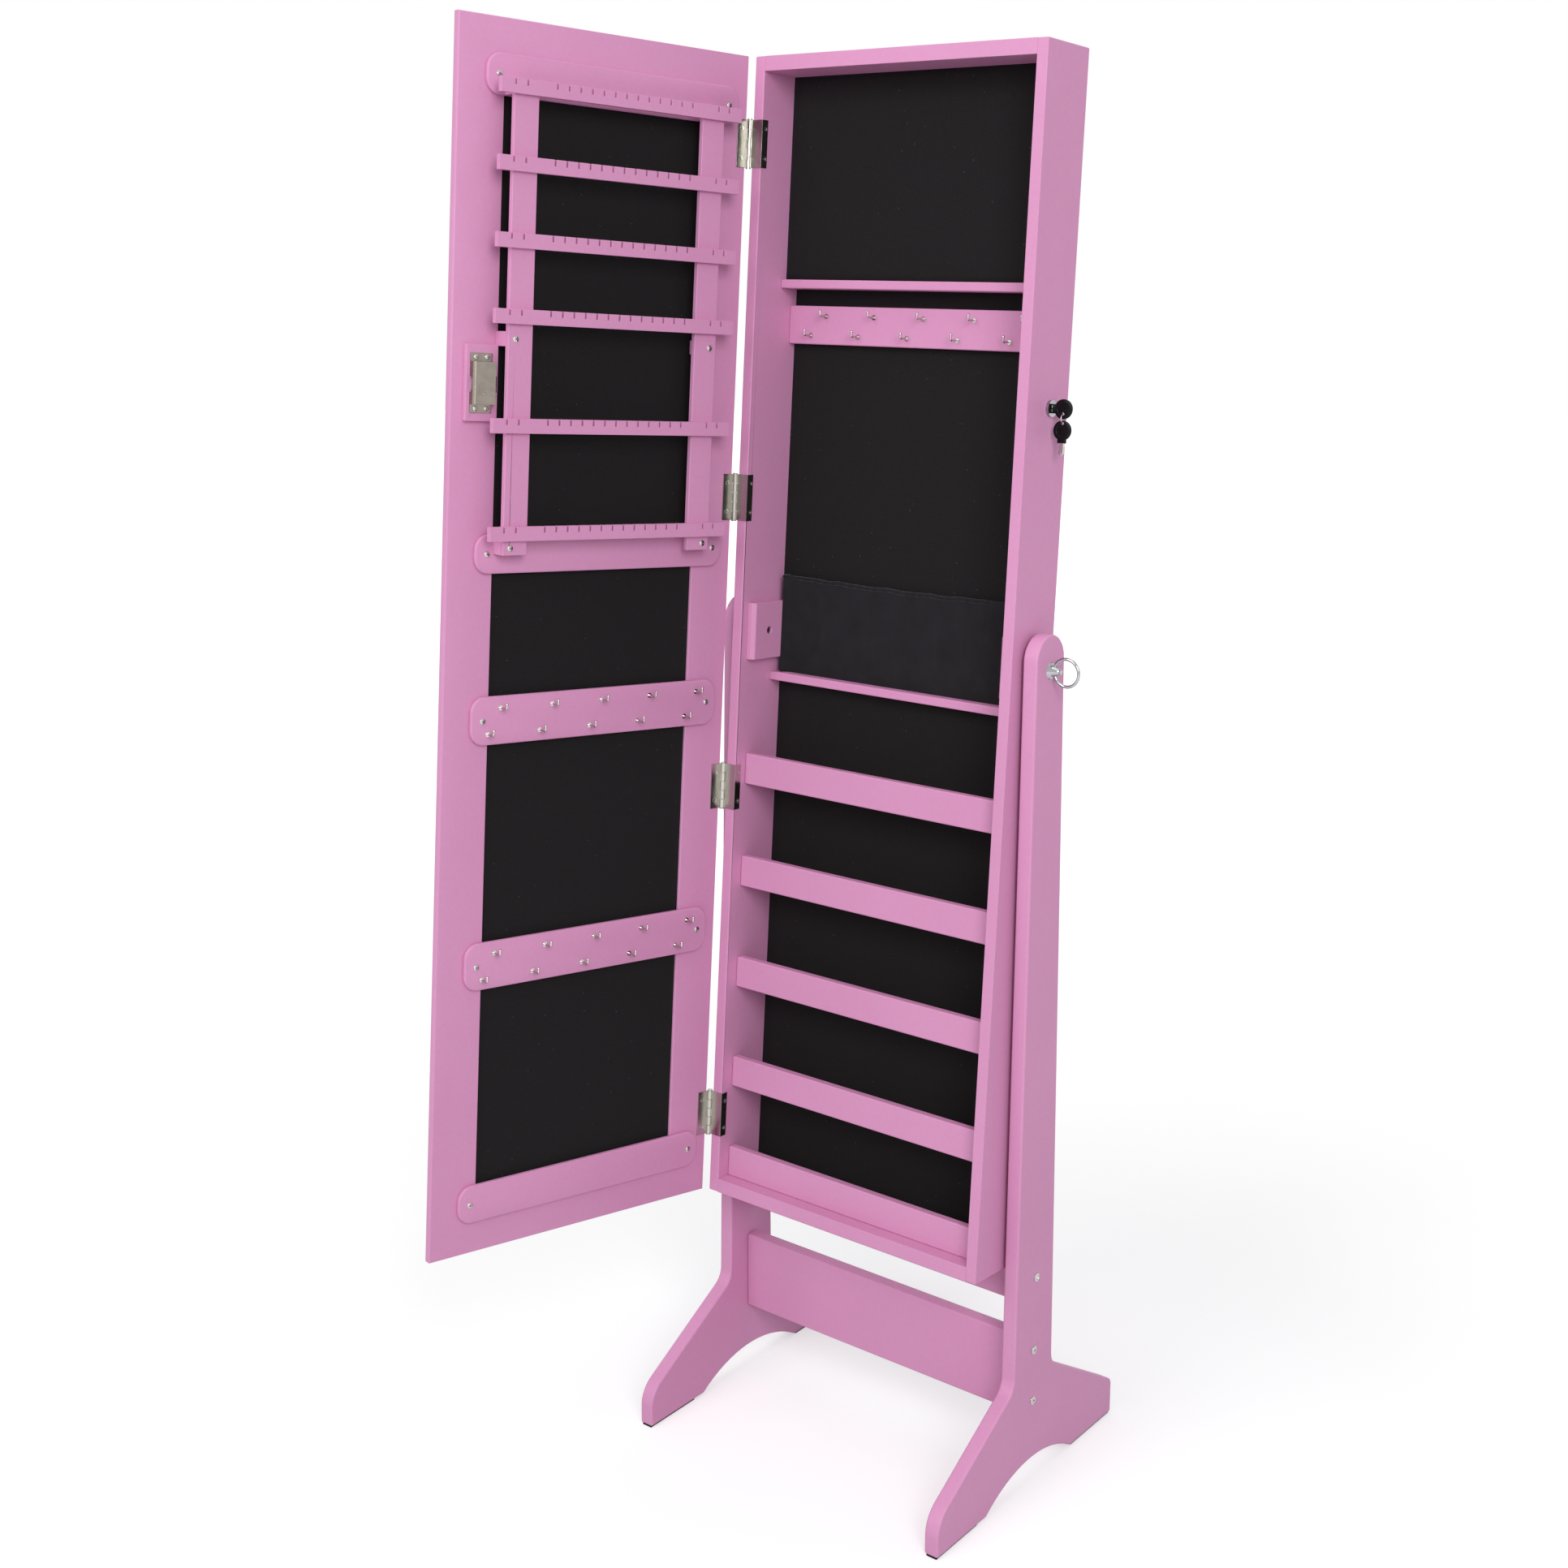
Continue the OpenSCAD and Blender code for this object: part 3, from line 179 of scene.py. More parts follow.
def newMaterial(name, shader):
    made = bpy.data.materials.new(name)
    made.use_nodes = True
    tree = made.node_tree
    tree.nodes.clear()
    surface = addNode(tree, "ShaderNodeBsdfPrincipled", shader)
    addNode(tree, "ShaderNodeOutputMaterial", None, {"Surface": surface.outputs[0]})
    place = addNode(tree, "ShaderNodeTexCoord").outputs["Object"]
    return made, tree, surface, place


def perMetre(millimetres):  # texture scale for features of a real size
    return 1000 / millimetres


def lacqueredFibreboard():
    # Medium-density fibreboard, sprayed with pink satin lacquer: an even colour with a faint cloudiness,
    # a soft highlight broken by the orange peel of the spray, and a long wave from sanding.
    made, tree, surface, place = newMaterial("satinLacqueredFibreboard", {
        "IOR": 1.5, "Specular IOR Level": 0.18,
    })
    cloud = addNode(tree, "ShaderNodeTexNoise", {"Scale": perMetre(170), "Detail": 4.0, "Roughness": 0.55},
                    {"Vector": place})
    fleck = addNode(tree, "ShaderNodeTexNoise", {"Scale": perMetre(4), "Detail": 2.0}, {"Vector": place})
    colour = addNode(tree, "ShaderNodeMix", {
        "data_type": "RGBA", "A": linear("#CF8EB6"), "B": linear("#DA9AC2"),
    }, {0: cloud.outputs[0]})
    speckled = addNode(tree, "ShaderNodeMix", {
        "data_type": "RGBA", "blend_type": "SOFT_LIGHT", 0: 0.1,
    }, {"A": colour.outputs["Result"], "B": fleck.outputs["Color"]})
    tree.links.new(speckled.outputs["Result"], surface.inputs["Base Color"])
    gloss = addNode(tree, "ShaderNodeMapRange", {"To Min": 0.36, "To Max": 0.5}, {0: fleck.outputs[0]})
    tree.links.new(gloss.outputs[0], surface.inputs["Roughness"])
    peel = addNode(tree, "ShaderNodeTexNoise", {"Scale": perMetre(1.6), "Detail": 1.0}, {"Vector": place})
    wave = addNode(tree, "ShaderNodeTexNoise", {"Scale": perMetre(45), "Detail": 1.0}, {"Vector": place})
    sanded = addNode(tree, "ShaderNodeBump", {"Strength": 0.25, "Distance": 0.5 * mm},
                     {"Height": wave.outputs[0]})
    sprayed = addNode(tree, "ShaderNodeBump", {"Strength": 0.16, "Distance": 0.08 * mm},
                      {"Height": peel.outputs[0], "Normal": sanded.outputs[0]})
    tree.links.new(sprayed.outputs[0], surface.inputs["Normal"])
    return made


def needleFelt(name, dark, pale, fibre, lint, sheen):
    # Needle-punched polyester felt: deep matt black, short crossing fibres that catch a grey sheen,
    # and a few specks of lint.
    made, tree, surface, place = newMaterial(name, {
        "Roughness": 0.95, "Specular IOR Level": 0.18, "Sheen Weight": sheen, "Sheen Roughness": 0.45,
        "Sheen Tint": linear("#B9BAC4"),
    })
    tuft = addNode(tree, "ShaderNodeTexNoise", {
        "Scale": perMetre(fibre), "Detail": 3.0, "Roughness": 0.7, "Distortion": 1.8,
    }, {"Vector": place})
    spread = addNode(tree, "ShaderNodeMapRange", {"From Min": 0.3, "From Max": 0.72}, {0: tuft.outputs[0]})
    colour = addNode(tree, "ShaderNodeMix", {
        "data_type": "RGBA", "A": linear(dark), "B": linear(pale),
    }, {0: spread.outputs[0]})
    speck = addNode(tree, "ShaderNodeTexVoronoi", {"Scale": perMetre(lint)}, {"Vector": place})
    dot = addNode(tree, "ShaderNodeMapRange", {
        "From Min": 0.02, "From Max": 0.045, "To Min": 0.35, "To Max": 0.0,
    }, {0: speck.outputs["Distance"]})
    dusted = addNode(tree, "ShaderNodeMix", {"data_type": "RGBA", "B": linear("#8C8A90")},
                     {0: dot.outputs[0], "A": colour.outputs["Result"]})
    tree.links.new(dusted.outputs["Result"], surface.inputs["Base Color"])
    raised = addNode(tree, "ShaderNodeBump", {"Strength": 0.55, "Distance": 0.35 * mm},
                     {"Height": tuft.outputs[0]})
    tree.links.new(raised.outputs[0], surface.inputs["Normal"])
    return made


def platedMetal(name, pale, dark, roughness, ripple, blotch):
    # Steel with a plated skin: clear reflections that break up a little where the metal under the
    # plating isn't flat, with cloudy patches of a duller sheen.
    made, tree, surface, place = newMaterial(name, {"Metallic": 1.0})
    patch = addNode(tree, "ShaderNodeTexNoise", {
        "Scale": perMetre(blotch), "Detail": 4.0, "Roughness": 0.6,
    }, {"Vector": place})
    colour = addNode(tree, "ShaderNodeMix", {
        "data_type": "RGBA", "A": linear(pale), "B": linear(dark),
    }, {0: patch.outputs[0]})
    tree.links.new(colour.outputs["Result"], surface.inputs["Base Color"])
    gloss = addNode(tree, "ShaderNodeMapRange", {
        "From Min": 0.3, "From Max": 0.7, "To Min": roughness[0], "To Max": roughness[1],
    }, {0: patch.outputs[0]})
    tree.links.new(gloss.outputs[0], surface.inputs["Roughness"])
    wave = addNode(tree, "ShaderNodeTexNoise", {"Scale": perMetre(2.5), "Detail": 2.0}, {"Vector": place})
    rippled = addNode(tree, "ShaderNodeBump", {"Strength": ripple, "Distance": 0.05 * mm},
                      {"Height": wave.outputs[0]})
    tree.links.new(rippled.outputs[0], surface.inputs["Normal"])
    return made


def mouldedBlackPlastic():
    # Injection-moulded ABS key head: glossy black with a fine flow texture and light handling marks.
    made, tree, surface, place = newMaterial("mouldedBlackAbs", {
        "IOR": 1.53, "Specular IOR Level": 0.15,
    })
    flow = addNode(tree, "ShaderNodeTexNoise", {"Scale": perMetre(3), "Detail": 3.0}, {"Vector": place})
    colour = addNode(tree, "ShaderNodeMix", {
        "data_type": "RGBA", "A": linear("#060607"), "B": linear("#0E0E10"),
    }, {0: flow.outputs[0]})
    tree.links.new(colour.outputs["Result"], surface.inputs["Base Color"])
    gloss = addNode(tree, "ShaderNodeMapRange", {"To Min": 0.14, "To Max": 0.34}, {0: flow.outputs[0]})
    tree.links.new(gloss.outputs[0], surface.inputs["Roughness"])
    pores = addNode(tree, "ShaderNodeTexNoise", {"Scale": perMetre(0.5), "Detail": 1.0}, {"Vector": place})
    textured = addNode(tree, "ShaderNodeBump", {"Strength": 0.06, "Distance": 0.02 * mm},
                       {"Height": pores.outputs[0]})
    tree.links.new(textured.outputs[0], surface.inputs["Normal"])
    return made


def silveredGlass():
    # Float glass silvered on its back: a sharp, very slightly green reflection with a trace of dust.
    made, tree, surface, place = newMaterial("silveredMirrorGlass", {
        "Metallic": 1.0, "Coat Weight": 1.0, "Coat Roughness": 0.0, "Coat IOR": 1.52,
    })
    dust = addNode(tree, "ShaderNodeTexNoise", {"Scale": perMetre(90), "Detail": 5.0}, {"Vector": place})
    colour = addNode(tree, "ShaderNodeMix", {
        "data_type": "RGBA", "A": linear("#E3EAE8"), "B": linear("#EDF1F0"),
    }, {0: dust.outputs[0]})
    tree.links.new(colour.outputs["Result"], surface.inputs["Base Color"])
    haze = addNode(tree, "ShaderNodeMapRange", {"To Min": 0.0, "To Max": 0.035}, {0: dust.outputs[0]})
    tree.links.new(haze.outputs[0], surface.inputs["Roughness"])
    return made


def gatheredVelour():
    # Knitted velour of the necklace pouch: soft black pile that lights up along the folds.
    made, tree, surface, place = newMaterial("knittedVelour", {
        "Roughness": 0.88, "Specular IOR Level": 0.2, "Sheen Weight": 0.6, "Sheen Roughness": 0.35,
        "Sheen Tint": linear("#C9C9D2"),
    })
    pile = addNode(tree, "ShaderNodeTexNoise", {"Scale": perMetre(0.9), "Detail": 2.0, "Distortion": 0.8},
                   {"Vector": place})
    shade = addNode(tree, "ShaderNodeTexNoise", {"Scale": perMetre(24), "Detail": 3.0}, {"Vector": place})
    colour = addNode(tree, "ShaderNodeMix", {
        "data_type": "RGBA", "A": linear("#121114"), "B": linear("#232226"),
    }, {0: shade.outputs[0]})
    tree.links.new(colour.outputs["Result"], surface.inputs["Base Color"])
    raised = addNode(tree, "ShaderNodeBump", {"Strength": 0.5, "Distance": 0.25 * mm},
                     {"Height": pile.outputs[0]})
    tree.links.new(raised.outputs[0], surface.inputs["Normal"])
    return made


lacquer = lacqueredFibreboard()
felt = needleFelt("needleFelt", "#121112", "#211F20", 1.1, 12, 0.1)
padFelt = needleFelt("denseFootFelt", "#111112", "#1D1C1E", 0.8, 14, 0.1)
# metal colours are darker than the bare metals, as the white studio leaves them little to reflect
nickel = platedMetal("brightNickelPlate", "#D2D0CB", "#B8B6B0", (0.08, 0.18), 0.12, 12)
hingeNickel = platedMetal("rolledNickelPlate", "#C6C4BC", "#B2AFA6", (0.16, 0.26), 0.1, 14)
chrome = platedMetal("brightChromePlate", "#8F9093", "#C4C5C8", (0.03, 0.08), 0.05, 15)
zinc = platedMetal("zincPlatedScrew", "#CFCECA", "#B3B1AC", (0.2, 0.36), 0.4, 4)
satinNickel = platedMetal("pressedNickelSheet", "#A79F95", "#7F776D", (0.18, 0.3), 0.22, 9)
keyPlastic = mouldedBlackPlastic()
mirrorGlass = silveredGlass()
velour = gatheredVelour()
print("materials made")

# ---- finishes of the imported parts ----

finishes = [
    (lacquer, [
        "left_post", "right_post", "lower_stretcher", "rear_rail", "left_wall", "right_wall", "top_board",
        "bottom_board", "back_panel", "upper_shelf", "hook_rail", "middle_shelf", "tray_floors",
        "tray_rails", "bottom_rail", "pivot_blocks", "door_frame", "strip_1", "strip_2", "strip_3",
        "strip_4", "strip_5", "rack_posts", "rack_spacers", "slat_1", "slat_2", "slat_3", "slat_4",
        "slat_5", "slat_6", "strike_block",
    ]),
    (felt, ["felt_lining", "felt_board", "earring_board"]),
    (padFelt, ["foot_pads"]),
    (nickel, [
        "rail_hooks", "upper_necklace_hooks", "lower_necklace_hooks", "lock_plug", "lock_cam",
        "lock_nut", "key_ring", "pivot_inserts", "strike_keeper",
    ]),
    (hingeNickel, ["cabinet_leaves", "door_leaves", "hinge_pins"]),
    (chrome, ["left_knob", "right_knob", "lock_barrel"]),
    (satinNickel, ["strike_case"]),
    (zinc, ["stand_screws", "door_screws", "strike_screws", "cabinet_leaf_screws",
            "door_leaf_screws"]),
    (mirrorGlass, ["mirror"]),
    (keyPlastic, ["lock_key", "spare_key"]),
    (velour, ["necklace_pouch"]),
]
for material, names in finishes:
    for name in names:
        for slot in cadNodes[name].material_slots:
            slot.link = "OBJECT"
            slot.material = material

# Rounding of the edges, in mm, as routed, sanded or pressed.
arrises = {
    "left_post": 2.4, "right_post": 2.4, "lower_stretcher": 2.2, "rear_rail": 1.8,
    "left_wall": 1.4, "right_wall": 1.4, "top_board": 0.5, "bottom_board": 0.5, "back_panel": 0.4,
    "upper_shelf": 1.2, "hook_rail": 1.4, "middle_shelf": 1.2, "tray_floors": 0.8, "tray_rails": 1.6,
    "bottom_rail": 1.6, "pivot_blocks": 0.7, "rack_posts": 0.8, "rack_spacers": 0.6,
    "slat_1": 0.35, "slat_2": 0.35, "slat_3": 0.35, "slat_4": 0.35, "slat_5": 0.35, "slat_6": 0.35,
    "strike_block": 1.0, "strike_case": 0.2, "strike_keeper": 0.2, "cabinet_leaves": 0.15,
    "door_leaves": 0.15, "lock_cam": 0.25, "lock_nut": 0.3, "felt_board": 0.3, "foot_pads": 0.5,
}
for name, width in arrises.items():
    piece = cadNodes[name]
    weld = piece.modifiers.new("weld", "WELD")
    weld.merge_threshold = weldDistance
    merge = piece.modifiers.new("merge", "DECIMATE")
    merge.decimate_type = "DISSOLVE"
    merge.angle_limit = math.radians(0.4)
    rounding = piece.modifiers.new("rounding", "BEVEL")
    rounding.width = width * mm
    rounding.segments = 3
    rounding.limit_method = "ANGLE"
    rounding.angle_limit = math.radians(32)
    rounding.use_clamp_overlap = False
    shading = piece.modifiers.new("shading", "WEIGHTED_NORMAL")
    shading.weight = 60
    shading.keep_sharp = False
print("finishes and edges set")

# ---- directions and places, read from the frame ----


def axesFrom(across, inward, up):  # columns are the local x, y and z in the shared frame
    return Matrix((across, inward, up)).transposed()


def widestNormal(name):
    return max(cadNodes[name].data.polygons, key=lambda face: face.area).normal.copy()


upright = Vector(next(j for j in frame["joints"] if j["name"] == "door_swing")["axis"]).normalized()
cabinetAxes = axesFrom(Vector((1, 0, 0)), upright.cross(Vector((1, 0, 0))), upright)
doorInward = widestNormal("felt_board")
if doorInward.dot(sum(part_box("strip_1"), Vector()) - sum(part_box("mirror"), Vector())) < 0:
    doorInward.negate()
doorAxes = axesFrom(doorInward.cross(upright), doorInward, upright)
standAxes = Matrix.Identity(3)


def boxOf(points):
    low = Vector([min(p[i] for p in points) for i in range(3)])
    high = Vector([max(p[i] for p in points) for i in range(3)])
    return low, high


def localBox(name, axes):
    return boxOf([axes.transposed() @ v.co for v in cadNodes[name].data.vertices])


def looseSolids(name, axes):  # points of each separate solid of a node, in local axes, in a fixed order
    solid = bmesh.new()
    solid.from_mesh(cadNodes[name].data)
    bmesh.ops.remove_doubles(solid, verts=solid.verts, dist=weldDistance)
    solid.verts.ensure_lookup_table()
    reached = [False] * len(solid.verts)
    found = []
    for start in range(len(solid.verts)):
        if reached[start]:
            continue
        reached[start] = True
        group, ahead = [], [solid.verts[start]]
        while ahead:
            vertex = ahead.pop()
            group.append(axes.transposed() @ vertex.co)
            for edge in vertex.link_edges:
                other = edge.other_vert(vertex)
                if not reached[other.index]:
                    reached[other.index] = True
                    ahead.append(other)
        found.append(group)
    solid.free()
    return found


def placing(axes, centre, outward, turn=0.0):  # from millimetres with z outward to the shared frame
    aim = Vector((0, 0, 1)).rotation_difference(outward).to_matrix()
    spin = Matrix.Rotation(turn, 3, "Z")
    return Matrix.Translation(axes @ centre) @ (axes @ aim @ spin * mm).to_4x4()


# ---- mesh tools ----


def revolve(mesh, profile, steps=48):  # closed solid from (radius, height) points, in millimetres
    rings = []
    for radius, height in profile:
        if radius == 0:
            rings.append([mesh.verts.new((0, 0, height))])
        else:
            rings.append([
                mesh.verts.new((radius * math.cos(a), radius * math.sin(a), height))
                for a in (2 * math.pi * i / steps for i in range(steps))
            ])
    for lower, upper in zip(rings, rings[1:]):
        for i in range(steps):
            j = (i + 1) % steps
            corners = [lower[i % len(lower)], lower[j % len(lower)],
                       upper[j % len(upper)], upper[i % len(upper)]]
            distinct = list(dict.fromkeys(corners))
            if len(distinct) > 2:
                mesh.faces.new(distinct)
    bmesh.ops.recalc_face_normals(mesh, faces=mesh.faces)


def prism(mesh, outline, heights, scales=(1, 1)):  # solid between two scaled copies of an outline
    low = [mesh.verts.new((x * scales[0], y * scales[0], heights[0])) for x, y in outline]
    high = [mesh.verts.new((x * scales[1], y * scales[1], heights[1])) for x, y in outline]
    mesh.faces.new(reversed(low))
    mesh.faces.new(high)
    for i in range(len(outline)):
        j = (i + 1) % len(outline)
        mesh.faces.new((low[i], low[j], high[j], high[i]))


def gridFaces(mesh, grid):  # quads between the rows of a grid of vertices
    for lower, upper in zip(grid, grid[1:]):
        for i in range(len(lower) - 1):
            mesh.faces.new((lower[i], lower[i + 1], upper[i + 1], upper[i]))


def meshFrom(build):
    made = bpy.data.meshes.new("made")
    shape = bmesh.new()
    build(shape)
    shape.to_mesh(made)
    shape.free()
    return made


def carved(solid, cutters):  # mesh of a solid less its cutters
    body = bpy.data.objects.new("body", solid)
    bpy.context.scene.collection.objects.link(body)
    tools = []
    for cutter in cutters:
        tool = bpy.data.objects.new("tool", cutter)
        bpy.context.scene.collection.objects.link(tool)
        tools.append(tool)
        cut = body.modifiers.new("cut", "BOOLEAN")
        cut.object, cut.operation, cut.solver = tool, "DIFFERENCE", "EXACT"
    ready = body.evaluated_get(bpy.context.evaluated_depsgraph_get())
    made = bpy.data.meshes.new_from_object(ready)
    for spent in [body, *tools]:
        bpy.data.objects.remove(spent)
    return made


def plate(outline, holes, thickness, edge):  # flat plate with rounded edges, in the xy plane, in millimetres
    data = bpy.data.curves.new("plate", "CURVE")
    data.dimensions = "2D"
    data.fill_mode = "BOTH"
    data.extrude = thickness / 2 - edge
    data.bevel_depth = edge
    data.bevel_resolution = 2
    data.offset = -edge
    for points in [outline, *holes]:
        spline = data.splines.new("POLY")
        spline.points.add(len(points) - 1)
        for point, (x, y) in zip(spline.points, points):
            point.co = (x, y, 0, 1)
        spline.use_cyclic_u = True
    holder = bpy.data.objects.new("plate", data)
    bpy.context.scene.collection.objects.link(holder)
    made = bpy.data.meshes.new_from_object(holder.evaluated_get(bpy.context.evaluated_depsgraph_get()))
    bpy.data.objects.remove(holder)
    return made


def ring(radius, centre=(0, 0), steps=40, start=0.0, sweep=2 * math.pi):
    count = steps if sweep >= 2 * math.pi else steps + 1
    return [(centre[0] + radius * math.cos(start + sweep * i / steps),
             centre[1] + radius * math.sin(start + sweep * i / steps)) for i in range(count)]


def addPiece(name, parts, material, body, replaced=(), smooth=math.radians(35)):
    # one object from (mesh, matrix) parts, riding on a body of the frame
    whole = bmesh.new()
    for mesh, matrix in parts:
        first = len(whole.verts)
        whole.from_mesh(mesh)
        whole.verts.ensure_lookup_table()
        bmesh.ops.transform(whole, matrix=matrix, verts=whole.verts[first:])
    bmesh.ops.remove_doubles(whole, verts=whole.verts, dist=0.0005 * mm)
    bmesh.ops.recalc_face_normals(whole, faces=whole.faces)
    data = bpy.data.meshes.new(name)
    whole.to_mesh(data)
    whole.free()
    data.materials.clear()
    data.materials.append(material)
    data.shade_smooth()
    data.set_sharp_from_angle(angle=smooth)
    piece = bpy.data.objects.new(name, data)
    bpy.context.scene.collection.objects.link(piece)
    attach(piece, body)
    if replaced:
        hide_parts(*replaced)
    return piece


# ---- door frame and cross strips ----

door = {
    "stiles": (48.5, 51.0),  # width on the hinge side and on the lock side
    "rail": 66.0,
    "mirrorRebate": 6.0,
    "stripCorner": 15.0,
    "arris": 1.4,
}


def rectangle(low, high, radius=0.0):  # outline in a plane, with rounded corners where a radius is given
    if not radius:
        return [(low[0], low[1]), (high[0], low[1]), (high[0], high[1]), (low[0], high[1])]
    centres = [(high[0] - radius, low[1] + radius), (high[0] - radius, high[1] - radius),
               (low[0] + radius, high[1] - radius), (low[0] + radius, low[1] + radius)]
    points = []
    for turn, centre in enumerate(centres):
        points += ring(radius, centre, 14, math.pi * (turn - 1) / 2, math.pi / 2)
    return points


def onDoor(centre):  # from a plate's plane to the door, with the plate's z out of the mirror side
    turn = Matrix(((1, 0, 0), (0, 0, -1), (0, 1, 0)))
    return Matrix.Translation(doorAxes @ centre) @ (doorAxes @ turn * mm).to_4x4()


low, high = localBox("door_frame", doorAxes)
wide, thick, tall = (high - low) / mm
opening = rectangle((door["stiles"][0] - wide / 2, door["rail"] - tall / 2),
                    (wide / 2 - door["stiles"][1], tall / 2 - door["rail"]))
rim, rimEnd = localBox("mirror", doorAxes)
pocket = rectangle((-(rimEnd - rim).x / 2 / mm, -(rimEnd - rim).z / 2 / mm),
                   ((rimEnd - rim).x / 2 / mm, (rimEnd - rim).z / 2 / mm))
board = plate(rectangle((-wide / 2, -tall / 2), (wide / 2, tall / 2)), [opening], thick, door["arris"])
rebate = meshFrom(lambda shape: prism(shape, pocket, (thick / 2 - door["mirrorRebate"], thick / 2 + 1)))
addPiece("doorBoard", [(carved(board, [rebate]), onDoor((low + high) / 2))], lacquer, "door",
         ["door_frame"])
for number in range(1, 6):
    low, high = localBox("strip_%d" % number, doorAxes)
    wide, thick, tall = (high - low) / mm
    outline = rectangle((-wide / 2, -tall / 2), (wide / 2, tall / 2), door["stripCorner"])
    addPiece("crossStrip%d" % number, [(plate(outline, [], thick, door["arris"]), onDoor((low + high) / 2))],
             lacquer, "door", ["strip_%d" % number])
print("door board and strips made")

# ---- screws ----

crossRecess = {"arm": 0.58, "width": 0.13, "taper": 0.45}
random.seed(7)


def screwMesh(radius, height, shank, length, domed):
    # cross-recess screw with z out of the wood and its head's underside at z = 0
    rise = height * (0.35 if domed else 0.12)
    profile = [(0, -length), (shank, -length + shank), (shank, 0), (radius, 0), (radius, height - 2 * rise)]
    steps = 6
    for i in range(1, steps):
        angle = math.pi / 2 * i / steps
        profile.append((radius * (1 - 0.35 * (1 - math.cos(angle))),
                        height - 2 * rise + rise * math.sin(angle)))
    profile += [(radius * 0.4, height - rise * 0.25), (0, height)]
    solid = meshFrom(lambda shape: revolve(shape, profile, 40))
    a, w = radius * crossRecess["arm"], radius * crossRecess["width"]
    cross = [(w, w), (w, a), (-w, a), (-w, w), (-a, w), (-a, -w),
             (-w, -w), (-w, -a), (w, -a), (w, -w), (a, -w), (a, w)]
    depth = min(0.75 * height + 0.4, radius * 0.6)
    cutter = meshFrom(lambda shape: prism(shape, cross, (height - depth, height + 0.2),
                                          (crossRecess["taper"], 1)))
    return carved(solid, [cutter])


def screws(name, node, body, axes, outwardOf, domed=True):
    parts, head = [], None
    for points in looseSolids(node, axes):
        low, high = boxOf(points)
        middle = (low + high) / 2
        outward = outwardOf(middle)
        span = [p.dot(outward) for p in points]
        away = [(p - middle - outward * (p - middle).dot(outward)).length for p in points]
        radius = max(away)
        rim = [s for s, a in zip(span, away) if a > 0.85 * radius]
        narrow = [a for s, a in zip(span, away) if s < min(rim) - 0.5 * mm]
        centre = middle + outward * (min(rim) - middle.dot(outward))
        if head is None:
            head = screwMesh(radius / mm, (max(rim) - min(rim)) / mm, max(narrow) / mm,
                             (min(rim) - min(span)) / mm, domed)
        parts.append((head, placing(axes, centre, outward, random.uniform(0, math.pi / 2))))
    return addPiece(name, parts, zinc, body, [node])


inward = Vector((0, 1, 0))
screws("standScrewSet", "stand_screws", "stand", standAxes,
       lambda middle: Vector((math.copysign(1, middle.x), 0, 0)))
screws("doorScrewSet", "door_screws", "door", doorAxes, lambda middle: inward)
screws("strikeScrewSet", "strike_screws", "door", doorAxes, lambda middle: inward)
screws("doorLeafScrewSet", "door_leaf_screws", "door", doorAxes, lambda middle: inward, False)
screws("cabinetLeafScrewSet", "cabinet_leaf_screws", "cabinet", cabinetAxes,
       lambda middle: Vector((1, 0, 0)), False)
print("screws made")

# ---- keys ----

key = {
    "shoulder": (4.5, 2.5),  # half width, and length past the round of the head
    "edge": 0.55,
    "fieldInset": 3.1,
    "fieldDepth": 0.4,
    "hole": 1.5,
    "blade": (3.0, 1.6),  # half width and thickness
    "cuts": (2.2, 0.9, 1.5),  # spacing, shallow and deep
}


def keyParts(radius, thickness, holeAt, bladeLength, matrix):
    half, past = key["shoulder"]
    start = math.asin(half / radius)
    outline = ring(radius, steps=48, start=start, sweep=2 * math.pi - 2 * start)
    outline += [(radius + past, -half), (radius + past, half)]
    head = plate(outline, [ring(key["hole"], holeAt, 24)], thickness, key["edge"])
    field = radius - key["fieldInset"]
    depth = key["fieldDepth"]

    def hollow(side):
        return meshFrom(lambda shape: revolve(shape, [
            (0, side * (thickness / 2 - depth)), (field - 0.3, side * (thickness / 2 - depth)),
            (field + 0.4, side * (thickness / 2 + 0.3)), (0, side * (thickness / 2 + 0.3)),
        ], 40))

    head = carved(head, [hollow(1), hollow(-1)])
    wide, thick = key["blade"]
    pitch, shallow, deep = key["cuts"]
    root, tip = radius * 0.6, radius + past + bladeLength
    blade = [(root, wide), (root, -wide), (tip - 2.2, -wide), (tip, 0.2), (tip - 1.2, wide)]
    for i in range(int((bladeLength - 3) / pitch)):
        x = tip - 2.6 - i * pitch
        bite = deep if i % 2 else shallow
        blade += [(x, wide), (x - 0.35 * pitch, wide - bite), (x - 0.6 * pitch, wide - bite)]
    steel = plate(blade, [], thick, 0.18)
    groove = [(root - 1, -0.6), (tip - 2, -0.6), (tip - 1.4, 0), (tip - 2, 0.6), (root - 1, 0.6)]
    grooves = [
        meshFrom(lambda shape, z=z: prism(shape, groove, (z, z + 1)))
        for z in (thick / 2 - 0.35, -thick / 2 - 0.65)
    ]
    steel = carved(steel, grooves)
    return [(head, matrix)], [(steel, matrix)]


